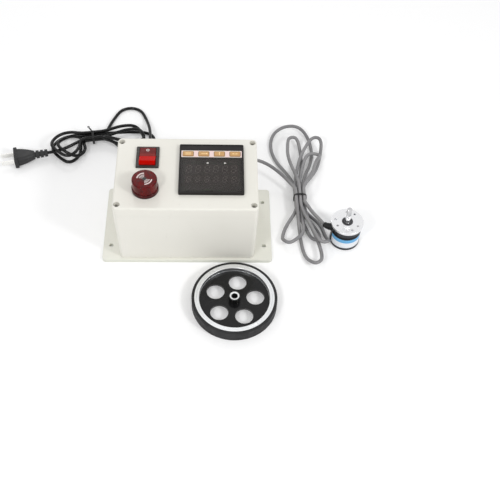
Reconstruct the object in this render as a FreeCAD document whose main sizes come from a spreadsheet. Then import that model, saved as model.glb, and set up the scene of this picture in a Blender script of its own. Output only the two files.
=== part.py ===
"""Cable length counter: enclosure with panel meter, switch and alarm, encoder on its cable, wheel.

World frame: origin at the centre of the enclosure's underside, +X to the right, +Y to the back,
+Z up, millimetres. Everything stands or lies on the plane z = 0.
"""
import FreeCAD
import Part
import Sketcher
import collections
import math
import os
import re

SIZES = {
    # Enclosure, two shells of moulded plastic on a mounting flange
    "case_length": 158,
    "case_depth": 105,
    "case_height": 95,
    "case_wall": 2.8,
    "case_floor": 3.0,
    "case_corner_radius": 5.0,
    "draft_angle": 1.3,
    "flange_length": 196,
    "flange_depth": 108,
    "flange_thickness": 4.6,
    "flange_corner_radius": 4.0,
    "flange_edge_radius": 1.0,
    "flange_hole_spacing_x": 178,
    "flange_hole_spacing_y": 66,
    "flange_hole_radius": 2.4,
    "lid_height": 13,
    "lid_top": 3.0,
    "lid_edge_radius": 2.2,
    "lid_boss_radius": 4.4,
    "post_radius": 3.9,
    "post_length": 26,
    "screw_inset_x": 5.0,
    "screw_inset_y": 6.4,
    "screw_radius": 1.4,
    "screw_length": 14,
    "screw_head_radius": 2.8,
    "screw_head_height": 2.2,
    "screw_recess_length": 3.6,
    "screw_recess_width": 0.7,
    "screw_recess_depth": 1.2,
    "counterbore_radius": 3.4,
    "counterbore_depth": 8,
    "seal_inset": 0.9,
    "seal_width": 1.0,
    "seal_height": 1.0,
    # Clearances: a tight fit, a turning fit, a sliding gap and a loose hole
    "tight": 0.05,
    "running": 0.06,
    "sliding": 0.35,
    "loose": 0.3,
    "overrun": 1.0,
    # Rocker switch
    "rocker_across_share": -0.2785,
    "rocker_depth_share": 0.2048,
    "rocker_bezel_width": 25.6,
    "rocker_bezel_length": 30.8,
    "rocker_bezel_height": 2.4,
    "rocker_bezel_corner": 1.2,
    "rocker_bezel_edge": 0.6,
    "rocker_body_width": 21.4,
    "rocker_body_length": 27.8,
    "rocker_body_depth": 20,
    "button_width": 17.9,
    "button_reach": 12.4,
    "button_valley": 2.2,
    "button_drop": 3.6,
    "button_edge": 0.4,
    "button_pin_radius": 1.2,
    "button_pin_length": 0.9,
    "rocker_tilt": 10,
    "pivot_depth": 1.0,
    "blade_width": 6.3,
    "blade_thickness": 0.8,
    "blade_length": 8,
    "blade_spacing_x": 11,
    "blade_spacing_y": 14,
    # Alarm lamp with sounder
    "buzzer_across_share": -0.281,
    "buzzer_depth_share": -0.2295,
    "buzzer_ring_radius": 14.75,
    "buzzer_ring_height": 3.4,
    "buzzer_ring_edge": 0.8,
    "gasket_thickness": 1.0,
    "barrel_radius": 11,
    "barrel_length": 36,
    "barrel_bore_radius": 9.5,
    "barrel_bore_depth": 12,
    "cap_radius": 13.8,
    "cap_height": 12.4,
    "cap_wall": 1.6,
    "cap_edge": 1.5,
    "cap_hole_radius": 1.4,
    "sound_slot_radius": 5.0,
    "sound_slot_pitch": 2.6,
    "sound_slot_width": 1.3,
    "sound_slot_start": 95,
    "sound_slot_end": 175,
    "nut_flat": 27,
    "nut_height": 6,
    "buzzer_terminal_radius": 2.4,
    "buzzer_terminal_length": 5,
    "buzzer_terminal_spacing": 11,
    # Panel meter, 72 mm square
    "meter_across_share": 0.174,
    "meter_depth_share": 0.0352,
    "bezel_size": 72,
    "bezel_height": 4.0,
    "bezel_corner": 1.6,
    "bezel_edge": 0.7,
    "bezel_rim": 1.5,
    "face_recess": 0.5,
    "strip_width": 67.6,
    "strip_depth": 9.6,
    "strip_y": 21.15,
    "strip_thickness": 0.5,
    "key_width": 12,
    "key_depth": 7.5,
    "key_corner": 1.0,
    "key_pitch": 17.5,
    "key_rise": 0.5,
    "key_travel": 0.8,
    "key_collar": 0.9,
    "key_collar_thickness": 1.0,
    "key_stem_radius": 1.6,
    "key_stem_length": 3.6,
    "window_width": 67.6,
    "window_depth": 49.6,
    "window_y": -9.0,
    "window_thickness": 1.6,
    "window_ledge": 2.0,
    "meter_case_size": 67.2,
    "meter_case_wall": 2.0,
    "meter_case_length": 62,
    "vent_width": 2.0,
    "vent_length": 31,
    "vent_depth": 37,
    "board_thickness": 1.6,
    "key_switch_size": 6.0,
    "key_switch_height": 3.4,
    "digits_width": 59,
    "upper_digits_depth": 14,
    "upper_digits_y": 0.1,
    "lower_digits_depth": 11.6,
    "lower_digits_y": -14.7,
    "power_board_x": -14,
    "power_board_width": 52,
    "power_board_height": 40,
    "transformer_width": 24,
    "transformer_depth": 30,
    "transformer_height": 22,
    "terminal_block_width": 60,
    "terminal_block_depth": 16,
    "terminal_block_height": 11,
    "terminal_count": 10,
    "terminal_pitch": 5.6,
    "terminal_screw_radius": 1.7,
    "terminal_screw_height": 1.2,
    "clamp_width": 12,
    "clamp_foot": 5.0,
    "clamp_foot_height": 3.0,
    "clamp_arm": 2.0,
    "clamp_length": 26,
    # Cords and the bushes where they leave the enclosure
    "mains_radius": 2.0,
    "mains_exit_share": -0.31645569620253,
    "mains_exit_z": 25,
    "sensor_radius": 2.1,
    "sensor_exit_share": 0.37974683544304,
    "sensor_exit_z": 32,
    "sensor_waist_x": 135,
    "sensor_waist_y": 37,
    "sensor_waist_heading": 91,
    "sensor_pitch": 4.9,
    "sensor_lowest": 4.2,
    "mains_waist_x": -124.5,
    "mains_waist_y": 136,
    "mains_waist_heading": 9,
    "mains_pitch": 4.6,
    "mains_lowest": 4.0,
    "waist_hold": 6,
    "tie_width": 3.0,
    "tie_thickness": 1.0,
    "twist_length": 13,
    "twist_radius": 1.1,
    "twist_count": 4,
    "twist_lean": 28,
    "bush_wall": 1.6,
    "bush_lip": 1.6,
    "bush_lip_thickness": 1.6,
    "sensor_nose": 6.0,
    "mains_nose": 20,
    "bush_nose_wall": 0.9,
    # Encoder
    "encoder_x": 185.5,
    "encoder_y": -17.9,
    "encoder_height": 33,
    "encoder_radius": 19,
    "encoder_rim": 3.0,
    "encoder_edge": 0.4,
    "encoder_body_radius": 17,
    "encoder_body_wall": 1.5,
    "encoder_floor": 2.0,
    "encoder_foot_radius": 17.6,
    "encoder_foot_height": 3.6,
    "spigot_depth": 6.0,
    "spigot_wall": 3.0,
    "bearing_tube_radius": 8.6,
    "bearing_tube_end": 13.5,
    "bearing_radius": 6.5,
    "bearing_width": 5.0,
    "bearing_sink": 0.8,
    "bearing_shield_radius": 4.3,
    "bearing_shield_depth": 0.4,
    "shaft_radius": 3.0,
    "shaft_rise": 22,
    "shaft_end": 8.0,
    "shaft_chamfer": 0.4,
    "shaft_flat": 0.5,
    "shaft_flat_length": 10,
    "shaft_groove_radius": 2.7,
    "shaft_groove_width": 0.7,
    "face_hole_circle": 14,
    "face_hole_radius": 1.25,
    "face_hole_depth": 5.0,
    "face_hole_angle": 48,
    "face_screw_circle": 13.6,
    "face_screw_radius": 1.4,
    "face_screw_angle": 88,
    "face_screw_length": 5.0,
    "face_slot_width": 0.5,
    "label_thickness": 0.25,
    "label_height": 18.2,
    "label_gap_angle": 60,
    "disc_radius": 12.6,
    "disc_thickness": 0.5,
    "disc_height": 9.4,
    "disc_slot_count": 24,
    "disc_slot_length": 2.4,
    "disc_slot_width": 0.8,
    "disc_hub_radius": 5.0,
    "disc_seat_radius": 4.0,
    "disc_hub_height": 3.2,
    "encoder_board_radius": 14.6,
    "encoder_board_thickness": 1.2,
    "standoff_radius": 1.8,
    "standoff_height": 1.2,
    "standoff_circle": 12,
    "pickup_width": 6,
    "pickup_depth": 5,
    "pickup_gap": 2.2,
    "gland_angle": 168,
    "gland_height": 18,
    "gland_neck_radius": 3.3,
    "gland_collar_radius": 4.4,
    "gland_collar_length": 1.6,
    "gland_boot_length": 7.6,
    "gland_boot_radius": 3.9,
    "gland_mouth_radius": 3.1,
    "gland_groove_count": 3,
    "gland_groove": 0.4,
    # Mains plug, which lies on the bench
    "plug_x": -179,
    "plug_y": 108.2,
    "plug_z": 8.8,
    "plug_heading": 192.2,
    "plug_lean": -1.4,
    "relief_length": 16,
    "relief_radius": 5.2,
    "relief_groove": 1.7,
    "relief_count": 3,
    "relief_end_radius": 4.6,
    "plug_bell_length": 21,
    "plug_neck": 10,
    "plug_bell_width": 18,
    "plug_bell_height": 12,
    "plug_shoulder_width": 22,
    "plug_shoulder_height": 13.5,
    "plug_flange_width": 27,
    "plug_flange_height": 15.5,
    "plug_flange_length": 4,
    "plug_corner": 5,
    "plug_edge": 1.0,
    "prong_width": 6.3,
    "prong_thickness": 1.5,
    "prong_length": 16,
    "prong_spacing": 12.7,
    # Measuring wheel, 300 mm round
    "wheel_x": 53.75,
    "wheel_y": -110.9,
    "wheel_radius": 47.75,
    "wheel_width": 14,
    "tyre_thickness": 2.6,
    "tyre_edge": 0.8,
    "rim_inner_radius": 39.4,
    "rim_edge": 0.4,
    "rim_groove_radius": 42.2,
    "rim_groove_depth": 0.35,
    "web_thickness": 3.0,
    "hub_radius": 6.6,
    "hub_rise": 8.0,
    "hub_edge": 0.5,
    "bore_chamfer": 0.9,
    "wheel_hole_radius": 10,
    "wheel_hole_circle": 23.7,
    "wheel_hole_angle": 8.6,
    "wheel_hole_count": 5,
    "wheel_hole_edge": 0.4,
    "set_screw_radius": 1.5,
    "set_screw_first_angle": 240,
    "set_screw_second_angle": 300,
    "set_screw_sink": 0.4,
}

DERIVED = {
    "parting_height": "case_height - lid_height",
    "mains_exit_x": "case_length * mains_exit_share",
    "sensor_exit_x": "case_length * sensor_exit_share",
    "rocker_x": "case_length * rocker_across_share",
    "rocker_y": "case_depth * rocker_depth_share",
    "buzzer_x": "case_length * buzzer_across_share",
    "buzzer_y": "case_depth * buzzer_depth_share",
    "meter_x": "case_length * meter_across_share",
    "meter_y": "case_depth * meter_depth_share",
    "draft_shift": "parting_height * tan(draft_angle)",
    "screw_x": "case_length / 2 - screw_inset_x",
    "screw_y": "case_depth / 2 - screw_inset_y",
    "screw_seat": "case_height - counterbore_depth",
    "buzzer_seat": "case_height + gasket_thickness",
    "bezel_face": "bezel_height - face_recess",
    "window_seat": "bezel_face - window_thickness",
    "key_top": "bezel_height + key_rise",
    "key_collar_top": "-sliding",
    "key_stem_end": "key_collar_top - key_collar_thickness - key_stem_length",
    "board_top": "key_stem_end - key_travel - sliding - key_switch_height",
    "encoder_rim_bottom": "encoder_height - encoder_rim",
    "encoder_inner_radius": "encoder_body_radius - encoder_body_wall",
    "shaft_top": "encoder_height + shaft_rise",
    "rim_outer_radius": "wheel_radius - tyre_thickness",
    "web_bottom": "(wheel_width - web_thickness) / 2",
    "web_top": "(wheel_width + web_thickness) / 2",
    "hub_top": "web_top + hub_rise",
}

# Free stretches of both cords, along the photographed route. The mains cord's points were read
# off by hand and then adjusted by a search for wider bends and gaps
ROUTES = {
    "mains_cord_lead": [
        (-50, 46, 25.1), (-50, 60, 24.8), (-50.1, 76, 24.3), (-50.4, 92, 21.5), (-50.8, 108, 17.8),
        (-51.2, 124, 14), (-51.8, 139, 10.8), (-53.5, 153.5, 7.6), (-56.5, 166, 4.5), (-60.4, 178, 2.6),
        (-65.5, 189.1, 2.1), (-71.9, 194.3, 2.1), (-80, 196.3, 2.1), (-88.1, 194.6, 2.1),
        (-94.7, 189.6, 2.1), (-99.7, 179.7, 2.1), (-104.5, 168, 2.2), (-109, 152.5, 3),
    ],
    "mains_cord_tail": [
        (-143, 127.5, 8.6), (-153.2, 119.2, 8.8), (-165.9, 111, 9.1), (-179, 108.2, 8.8),
    ],
    "sensor_cord_lead": [
        (60, 46.2, 32), (60, 56, 32), (61, 66, 32), (68, 76, 31.5), (82, 80.5, 30.2),
        (98, 75, 26.5), (113.5, 65, 20.3), (125.5, 52, 16),
    ],
    "sensor_cord_tail": [
        (142, 22.2, 15), (146.2, 5.5, 15.2), (152.2, -10.8, 18), (168.9, -14.4, 18),
    ],
}

# Column and layer in the tie of each pass of a hank, from its lead to its tail. This order was
# found by a search for the widest gaps
PASSES = {
    "mains": [(-1, 0), (0, 0), (-1, 1), (1, 1), (-1, 2), (1, 2), (0, 1)],
    "sensor": [(-1, 2), (1, 1), (-1, 0), (0, 0), (0, 2), (1, 0), (-1, 1), (0, 1), (1, 2)],
}

# Loops read off the photograph and then adjusted by the same search, not chosen by hand alone.
# A loop's tip, its half widths on the way out and back, how far short of the tip those are taken,
# the turn of its way back, its side, and the levels of the way out, the tip and the way back
Loop = collections.namedtuple("Loop", "tip half_widths shoulders back_turn side levels")
LOOPS = {
    "mains": [
        Loop((-171.5, 113.5), (20.5, 20.5), (22, 12), -24, -1, (2.1, 3.1, 2.1)),
        Loop((-47.5, 137), (18, 15.5), (22.5, 18), 2, -1, (2.1, 4.1, 2.1)),
        Loop((-164, 113), (16, 17.5), (17.5, 22), -20, -1, (8.5, 14.5, 7.1)),
        Loop((-60, 136), (12.5, 16), (19, 18.5), -2, -1, (7.5, 2.1, 14.5)),
        Loop((-172, 112.5), (16.5, 21), (19.5, 19.5), -24, -1, (14.5, 14.5, 14.5)),
        Loop((-60, 136), (11, 10), (17, 11), -6, -1, (14.5, 10, 14.5)),
    ],
    "sensor": [
        Loop((149.5, -60), (11, 8.5), (22, 9.5), 0, -1, (2.2, 9, 8)),
        Loop((129.5, 160.5), (23.5, 28), (34, 24.5), 2, -1, (2.7, 7.7, 2.2)),
        Loop((153, -22), (7, 5), (11.5, 9.5), -8, -1, (2.2, 3.2, 2.2)),
        Loop((131.5, 139), (8, 9.5), (28, 25), 4, -1, (3.7, 9.2, 16)),
        Loop((160.5, -33), (7, 8.5), (14, 21), 8, -1, (16, 13, 2.2)),
        Loop((161, 133), (10, 11.5), (28.5, 18.5), 8, -1, (2.2, 15.5, 10)),
        Loop((116, -31), (7.5, 9), (12.5, 6), 32, -1, (4.2, 10, 10)),
        Loop((158, 111), (9.5, 5.5), (14, 28.5), 4, 1, (10.5, 8.5, 15)),
    ],
}

# Where along each rib its edges lie, with its depth there, and places along a row of vents or keys
RIB_SHARES = [(0.0, 0), (0.62, 0), (0.62, 1), (1.0, 1)]
VENT_SHARES = (-0.3, -0.18, -0.06, 0.06, 0.18, 0.3)
KEY_SHARES = (-1.5, -0.5, 0.5, 1.5)

# How far an arc reaches along its shorter run, a length that counts as nothing, and how the least
# gap of a hank is measured: step, path between two points in diameters, and the least allowed
ARC_SHARE = 0.45
NEAR = 1e-4
GAP_STEP = 1.2
GAP_FROM_SHARE = 3.4
LEAST_GAP = 0.4

# How many of a lead's first points keep in line with its bush
BUSH_POINTS = 3

doc = FreeCAD.newDocument("cable_length_counter")
sheet = doc.addObject("Spreadsheet::Sheet", "Sizes")
parts = []


def fill_sheet():
    """Write every driving size, then every derived one, each in a row with its alias."""
    rows = [(alias, str(number)) for alias, number in SIZES.items()]
    rows += [(alias, f"={formula}") for alias, formula in DERIVED.items()]
    for row, (alias, content) in enumerate(rows, start=1):
        sheet.set(f"A{row}", alias)
        sheet.set(f"B{row}", content)
        sheet.setAlias(f"B{row}", alias)
    doc.recompute()


def value(text):
    """Number that an expression of sheet aliases stands for."""
    return float(sheet.evalExpression(text))


def bound(text):
    """The same expression, with every alias read from the sheet."""
    def qualified(word):
        alias = word.group()
        return f"Sizes.{alias}" if alias in SIZES or alias in DERIVED else alias
    return re.sub(r"[A-Za-z_]\w*", qualified, text)


def place(piece, x="0", y="0", z="0"):
    for axis, text in zip("xyz", (x, y, z)):
        piece.setExpression(f"Placement.Base.{axis}", bound(text))


def body(name, x="0", y="0", z="0"):
    """A new piece with its own origin at x, y, z."""
    owner = doc.addObject("PartDesign::Body", name)
    owner.Label = name
    place(owner, x, y, z)
    parts.append(owner)
    return owner


def sketch(owner, plane="XY_Plane", height="0", swing=None):
    """A sketch on one of the body's origin planes, raised by height, swung about +Z by an angle."""
    drawn = owner.newObject("Sketcher::SketchObject", f"{owner.Name}_sketch")
    support = next(item for item in owner.Origin.OriginFeatures if item.Role == plane)
    drawn.AttachmentSupport = [(support, "")]
    drawn.MapMode = "FlatFace"
    if swing:
        upright = FreeCAD.Vector(0, 1, 0)
        drawn.AttachmentOffset = FreeCAD.Placement(
            FreeCAD.Vector(), FreeCAD.Rotation(upright, value(swing)))
    drawn.setExpression("AttachmentOffset.Base.z", bound(height))
    return drawn


def dimension(drawn, kind, *where, size):
    """Add one dimension that reads its size from the sheet."""
    number = drawn.addConstraint(Sketcher.Constraint(kind, *where, value(size)))
    drawn.setExpression(f"Constraints[{number}]", bound(size))


def pin_point(drawn, curve, point, x, y):
    """Hold one point of a curve at x, y from the sketch's origin."""
    for kind, axis, size in (("DistanceX", -2, x), ("DistanceY", -1, y)):
        if size == "0":
            drawn.addConstraint(Sketcher.Constraint("PointOnObject", curve, point, axis))
        else:
            dimension(drawn, kind, -1, 1, curve, point, size=size)


def circle(drawn, radius, x="0", y="0"):
    centre = FreeCAD.Vector(value(x), value(y), 0)
    curve = drawn.addGeometry(Part.Circle(centre, FreeCAD.Vector(0, 0, 1), value(radius)), False)
    pin_point(drawn, curve, 3, x, y)
    dimension(drawn, "Radius", curve, size=radius)


def polygon(drawn, corners):
    """A closed outline of straight sides, each corner held at its own place."""
    spots = [FreeCAD.Vector(value(x), value(y), 0) for x, y in corners]
    sides = [
        drawn.addGeometry(Part.LineSegment(spot, spots[(index + 1) % len(spots)]), False)
        for index, spot in enumerate(spots)
    ]
    for index, side in enumerate(sides):
        pin_point(drawn, side, 1, *corners[index])
        drawn.addConstraint(Sketcher.Constraint("Coincident", side, 1, sides[index - 1], 2))


def rectangle(drawn, width, depth, x="0", y="0", radius=None):
    """A rectangle about x, y, with round corners where a radius is given."""
    left, right = (f"{x} - ({width}) / 2", f"{x} + ({width}) / 2")
    low, high = (f"{y} - ({depth}) / 2", f"{y} + ({depth}) / 2")
    if radius is None:
        polygon(drawn, [(left, low), (right, low), (right, high), (left, high)])
        return
    radius = f"({radius})"
    ends = [
        ((f"{left} + {radius}", low), (f"{right} - {radius}", low)),
        ((right, f"{low} + {radius}"), (right, f"{high} - {radius}")),
        ((f"{right} - {radius}", high), (f"{left} + {radius}", high)),
        ((left, f"{high} - {radius}"), (left, f"{low} + {radius}")),
    ]
    sides = []
    for start, end in ends:
        spots = [FreeCAD.Vector(value(across), value(along), 0) for across, along in (start, end)]
        side = drawn.addGeometry(Part.LineSegment(*spots), False)
        pin_point(drawn, side, 1, *start)
        pin_point(drawn, side, 2, *end)
        sides.append(side)
    size = value(radius)
    centres = [(right, low, 1, -1), (right, high, 1, 1), (left, high, -1, 1), (left, low, -1, -1)]
    for index, (across, along, sign_x, sign_y) in enumerate(centres):
        centre = FreeCAD.Vector(value(across) - sign_x * size, value(along) - sign_y * size, 0)
        first = (index - 1) * math.pi / 2
        ring = Part.Circle(centre, FreeCAD.Vector(0, 0, 1), size)
        arc = drawn.addGeometry(Part.ArcOfCircle(ring, first, first + math.pi / 2), False)
        drawn.addConstraint(Sketcher.Constraint("Coincident", arc, 1, sides[index], 2))
        drawn.addConstraint(Sketcher.Constraint("Coincident", arc, 2, sides[(index + 1) % 4], 1))
        dimension(drawn, "Radius", arc, size=radius)


def arc_slot(drawn, radius, width, start, end):
    """A slot along an arc about the sketch's origin, with square ends."""
    inner, outer = (f"({radius}) - ({width}) / 2", f"({radius}) + ({width}) / 2")
    turn = [math.radians(value(angle)) for angle in (start, end)]
    arcs = []
    for size in (inner, outer):
        ring = Part.Circle(FreeCAD.Vector(), FreeCAD.Vector(0, 0, 1), value(size))
        arc = drawn.addGeometry(Part.ArcOfCircle(ring, *turn), False)
        drawn.addConstraint(Sketcher.Constraint("Coincident", arc, 3, -1, 1))
        dimension(drawn, "Radius", arc, size=size)
        for point, angle, angle_text in zip((1, 2), turn, (start, end)):
            if abs(math.sin(angle)) > abs(math.cos(angle)):
                dimension(drawn, "DistanceX", -1, 1, arc, point, size=f"({size}) * cos({angle_text})")
            else:
                dimension(drawn, "DistanceY", -1, 1, arc, point, size=f"({size}) * sin({angle_text})")
        arcs.append((arc, ring))
    for point in (1, 2):
        spots = [ring.value(turn[point - 1]) for _, ring in arcs]
        side = drawn.addGeometry(Part.LineSegment(*spots), False)
        for end_point, (arc, _) in zip((1, 2), arcs):
            drawn.addConstraint(Sketcher.Constraint("Coincident", side, end_point, arc, point))


def feature(owner, kind, **settings):
    """Add one feature, set it up and recompute; a cut has to take material away."""
    before = owner.Shape.Volume if owner.Tip else 0
    made = owner.newObject(f"PartDesign::{kind}", f"{owner.Name}_{kind.lower()}")
    for name, setting in settings.items():
        if isinstance(setting, str) and name not in ("Type", "Mode"):
            made.setExpression(name, bound(setting))
        else:
            setattr(made, name, setting)
    doc.recompute()
    if kind in ("Pocket", "Groove", "SubtractiveLoft") and owner.Shape.Volume >= before:
        raise RuntimeError(f"{made.Name} cuts nothing")
    return made


def pad(owner, drawn, length, down=False, both=False):
    return feature(owner, "Pad", Profile=drawn, Length=length, Reversed=down, Midplane=both)


def pocket(owner, drawn, depth, up=False, both=False):
    return feature(owner, "Pocket", Profile=drawn, Length=depth, Reversed=up, Midplane=both)


def revolve(owner, drawn, angle="360"):
    return feature(owner, "Revolution", Profile=drawn, ReferenceAxis=(drawn, ["V_Axis"]), Angle=angle)


def groove(owner, drawn):
    return feature(owner, "Groove", Profile=drawn, ReferenceAxis=(drawn, ["V_Axis"]), Angle="360")


def dress(owner, kind, size, wanted):
    """Round or bevel the edges of the piece so far that the test picks out."""
    base = owner.Tip
    names = [f"Edge{number}" for number, edge in enumerate(base.Shape.Edges, start=1) if wanted(edge)]
    if not names:
        raise RuntimeError(f"{owner.Name} has no edge to dress")
    settings = {"Radius" if kind == "Fillet" else "Size": size}
    return feature(owner, kind, Base=(base, names), **settings)


def rim_at(height, least_radius="0", most_radius=None):
    """Test for edges that lie level at a height and reach out between two radii."""
    level = value(height)
    least = value(least_radius)
    most = value(most_radius) if most_radius else math.inf

    def wanted(edge):
        box = edge.BoundBox
        reach = max(math.hypot(spot.X, spot.Y) for spot in edge.Vertexes)
        flat = abs(box.ZMin - level) < NEAR and abs(box.ZMax - level) < NEAR
        return flat and least - NEAR < reach < most + NEAR
    return wanted


def block(name, width, depth, height, x, y, z):
    """A plain box about x, y, standing on z."""
    made = doc.addObject("Part::Box", name)
    made.Label = name
    made.setExpression("Length", bound(width))
    made.setExpression("Width", bound(depth))
    made.setExpression("Height", bound(height))
    place(made, f"{x} - ({width}) / 2", f"{y} - ({depth}) / 2", z)
    parts.append(made)
    return made


def corners(x, y):
    """Four places, mirrored in both axes."""
    return [(f"{sign_x}{x}", f"{sign_y}{y}") for sign_x in ("", "-") for sign_y in ("", "-")]


def build_enclosure_base():
    base = body("enclosure_base")
    plate = sketch(base)
    rectangle(plate, "flange_length", "flange_depth", radius="flange_corner_radius")
    pad(base, plate, "flange_thickness")
    dress(base, "Fillet", "flange_edge_radius", rim_at("flange_thickness"))

    low = sketch(base)
    low_length, low_depth = ("case_length - 2 * draft_shift", "case_depth - 2 * draft_shift")
    rectangle(low, low_length, low_depth, radius="case_corner_radius")
    top = sketch(base, height="parting_height")
    rectangle(top, "case_length", "case_depth", radius="case_corner_radius")
    feature(base, "AdditiveLoft", Profile=low, Sections=[top], Ruled=True)

    inner_radius = "case_corner_radius - case_wall"
    shift = "draft_shift * (1 - case_floor / parting_height)"
    low_hollow = sketch(base, height="case_floor")
    rectangle(low_hollow, f"case_length - 2 * case_wall - 2 * {shift}",
              f"case_depth - 2 * case_wall - 2 * {shift}", radius=inner_radius)
    top_hollow = sketch(base, height="parting_height")
    rectangle(top_hollow, "case_length - 2 * case_wall", "case_depth - 2 * case_wall",
              radius=inner_radius)
    feature(base, "SubtractiveLoft", Profile=low_hollow, Sections=[top_hollow], Ruled=True)

    posts = sketch(base, height="parting_height")
    for x, y in corners("screw_x", "screw_y"):
        circle(posts, "post_radius", x, y)
    pad(base, posts, "post_length", down=True)
    pilots = sketch(base, height="parting_height")
    for x, y in corners("screw_x", "screw_y"):
        circle(pilots, "screw_radius + tight", x, y)
    pocket(base, pilots, "screw_length")

    seat = sketch(base, height="parting_height")
    ring_outline(seat, "seal_inset", "seal_width")
    pocket(base, seat, "seal_height")

    holes = sketch(base)
    for x, y in corners("flange_hole_spacing_x / 2", "flange_hole_spacing_y / 2"):
        circle(holes, "flange_hole_radius", x, y)
    pocket(base, holes, "flange_thickness + overrun", up=True)

    exits = sketch(base, "XZ_Plane")
    circle(exits, "mains_radius + loose + bush_wall + loose", "mains_exit_x", "mains_exit_z")
    circle(exits, "sensor_radius + loose + bush_wall + loose", "sensor_exit_x", "sensor_exit_z")
    pocket(base, exits, "case_depth / 2 + overrun")


def ring_outline(drawn, inset, width):
    """Two outlines around the enclosure, one inside the other."""
    for depth in (inset, f"{inset} + {width}"):
        rectangle(drawn, f"case_length - 2 * ({depth})", f"case_depth - 2 * ({depth})",
                  radius=f"case_corner_radius - ({depth})")


def build_enclosure_lid():
    lid = body("enclosure_lid", z="parting_height")
    outer = sketch(lid)
    rectangle(outer, "case_length", "case_depth", radius="case_corner_radius")
    pad(lid, outer, "lid_height")
    dress(lid, "Fillet", "lid_edge_radius", rim_at("lid_height"))
    hollow = sketch(lid)
    rectangle(hollow, "case_length - 2 * case_wall", "case_depth - 2 * case_wall",
              radius="case_corner_radius - case_wall")
    pocket(lid, hollow, "lid_height - lid_top", up=True)
    bosses = sketch(lid)
    for x, y in corners("screw_x", "screw_y"):
        circle(bosses, "lid_boss_radius", x, y)
    pad(lid, bosses, "lid_height - lid_top")
    sinks = sketch(lid, height="lid_height")
    for x, y in corners("screw_x", "screw_y"):
        circle(sinks, "counterbore_radius", x, y)
    pocket(lid, sinks, "counterbore_depth")
    openings = sketch(lid, height="lid_height")
    for x, y in corners("screw_x", "screw_y"):
        circle(openings, "screw_radius + loose", x, y)
    meter_hole = "meter_case_size + 2 * loose"
    rectangle(openings, meter_hole, meter_hole, "meter_x", "meter_y")
    rectangle(openings, "rocker_body_width + 2 * loose", "rocker_body_length + 2 * loose",
              "rocker_x", "rocker_y")
    circle(openings, "barrel_radius + loose", "buzzer_x", "buzzer_y")
    pocket(lid, openings, "lid_height + overrun")

    seal = body("lid_seal", z="parting_height - seal_height")
    strip = sketch(seal)
    ring_outline(strip, "seal_inset + tight", "seal_width - 2 * tight")
    pad(seal, strip, "seal_height")

    screws = body("lid_screws", z="screw_seat")
    heads = sketch(screws)
    for x, y in corners("screw_x", "screw_y"):
        circle(heads, "screw_head_radius", x, y)
    pad(screws, heads, "screw_head_height")
    shanks = sketch(screws)
    for x, y in corners("screw_x", "screw_y"):
        circle(shanks, "screw_radius", x, y)
    pad(screws, shanks, "screw_length", down=True)
    recesses = sketch(screws, height="screw_head_height")
    for x, y in corners("screw_x", "screw_y"):
        cross(recesses, "screw_recess_length", "screw_recess_width", x, y)
    pocket(screws, recesses, "screw_recess_depth")


def cross(drawn, length, width, x, y):
    """A cross-shaped outline about x, y."""
    far, near = (f"({length}) / 2", f"({width}) / 2")
    quarter = [(far, f"-{near}"), (far, near), (near, near), (near, far)]
    outline = []
    for step in range(4):
        for along, across in quarter[:3]:
            spot = {
                0: (along, across),
                1: (f"-({across})", along),
                2: (f"-({along})", f"-({across})"),
                3: (across, f"-({along})"),
            }[step]
            outline.append((f"{x} + {spot[0]}", f"{y} + {spot[1]}"))
    polygon(drawn, outline)


def build_rocker_switch():
    frame = body("rocker_frame", "rocker_x", "rocker_y", "case_height")
    bezel = sketch(frame)
    rectangle(bezel, "rocker_bezel_width", "rocker_bezel_length", radius="rocker_bezel_corner")
    pad(frame, bezel, "rocker_bezel_height")
    dress(frame, "Fillet", "rocker_bezel_edge", rim_at("rocker_bezel_height"))
    box = sketch(frame)
    rectangle(box, "rocker_body_width", "rocker_body_length")
    pad(frame, box, "rocker_body_depth", down=True)
    opening = sketch(frame, height="rocker_bezel_height")
    rectangle(opening, "button_width + 2 * sliding", "2 * (button_reach + sliding)")
    pocket(frame, opening, "pivot_depth + button_reach * sin(2 * rocker_tilt) + button_drop")
    sockets = sketch(frame, "YZ_Plane")
    circle(sockets, "button_pin_radius + running", y="rocker_bezel_height - pivot_depth")
    pocket(frame, sockets, "button_width + 2 * button_pin_length + 2 * sliding", both=True)

    button = body("rocker_button", "rocker_x", "rocker_y",
                  "case_height + rocker_bezel_height - pivot_depth")
    side = sketch(button, "YZ_Plane")
    circle(side, "button_reach")
    pad(button, side, "button_width", both=True)
    above = sketch(button, "YZ_Plane")
    edge = "button_reach + overrun"
    rise = f"button_valley + ({edge}) * tan(rocker_tilt)"
    polygon(above, [("0", "button_valley"), (edge, rise), (edge, edge),
                    (f"-({edge})", edge), (f"-({edge})", rise)])
    pocket(button, above, "button_width + 2 * overrun", both=True)
    below = sketch(button, "YZ_Plane")
    polygon(below, [(f"-({edge})", "-button_drop"), (f"-({edge})", f"-({edge})"),
                    (edge, f"-({edge})"), (edge, "-button_drop")])
    pocket(button, below, "button_width + 2 * overrun", both=True)
    top = value("button_valley")
    dress(button, "Fillet", "button_edge",
          lambda rim: rim.BoundBox.ZMin > top - NEAR and rim.BoundBox.YLength > NEAR)
    pins = sketch(button, "YZ_Plane")
    circle(pins, "button_pin_radius")
    pad(button, pins, "button_width + 2 * button_pin_length", both=True)
    button.Placement = FreeCAD.Placement(
        FreeCAD.Vector(), FreeCAD.Rotation(FreeCAD.Vector(-1, 0, 0), value("rocker_tilt")))
    place(button, "rocker_x", "rocker_y", "case_height + rocker_bezel_height - pivot_depth")

    blades = body("switch_terminals", "rocker_x", "rocker_y", "case_height - rocker_body_depth")
    drawn = sketch(blades)
    for x, y in corners("blade_spacing_x / 2", "blade_spacing_y / 2"):
        rectangle(drawn, "blade_width", "blade_thickness", x, y)
    pad(blades, drawn, "blade_length", down=True)


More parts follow.
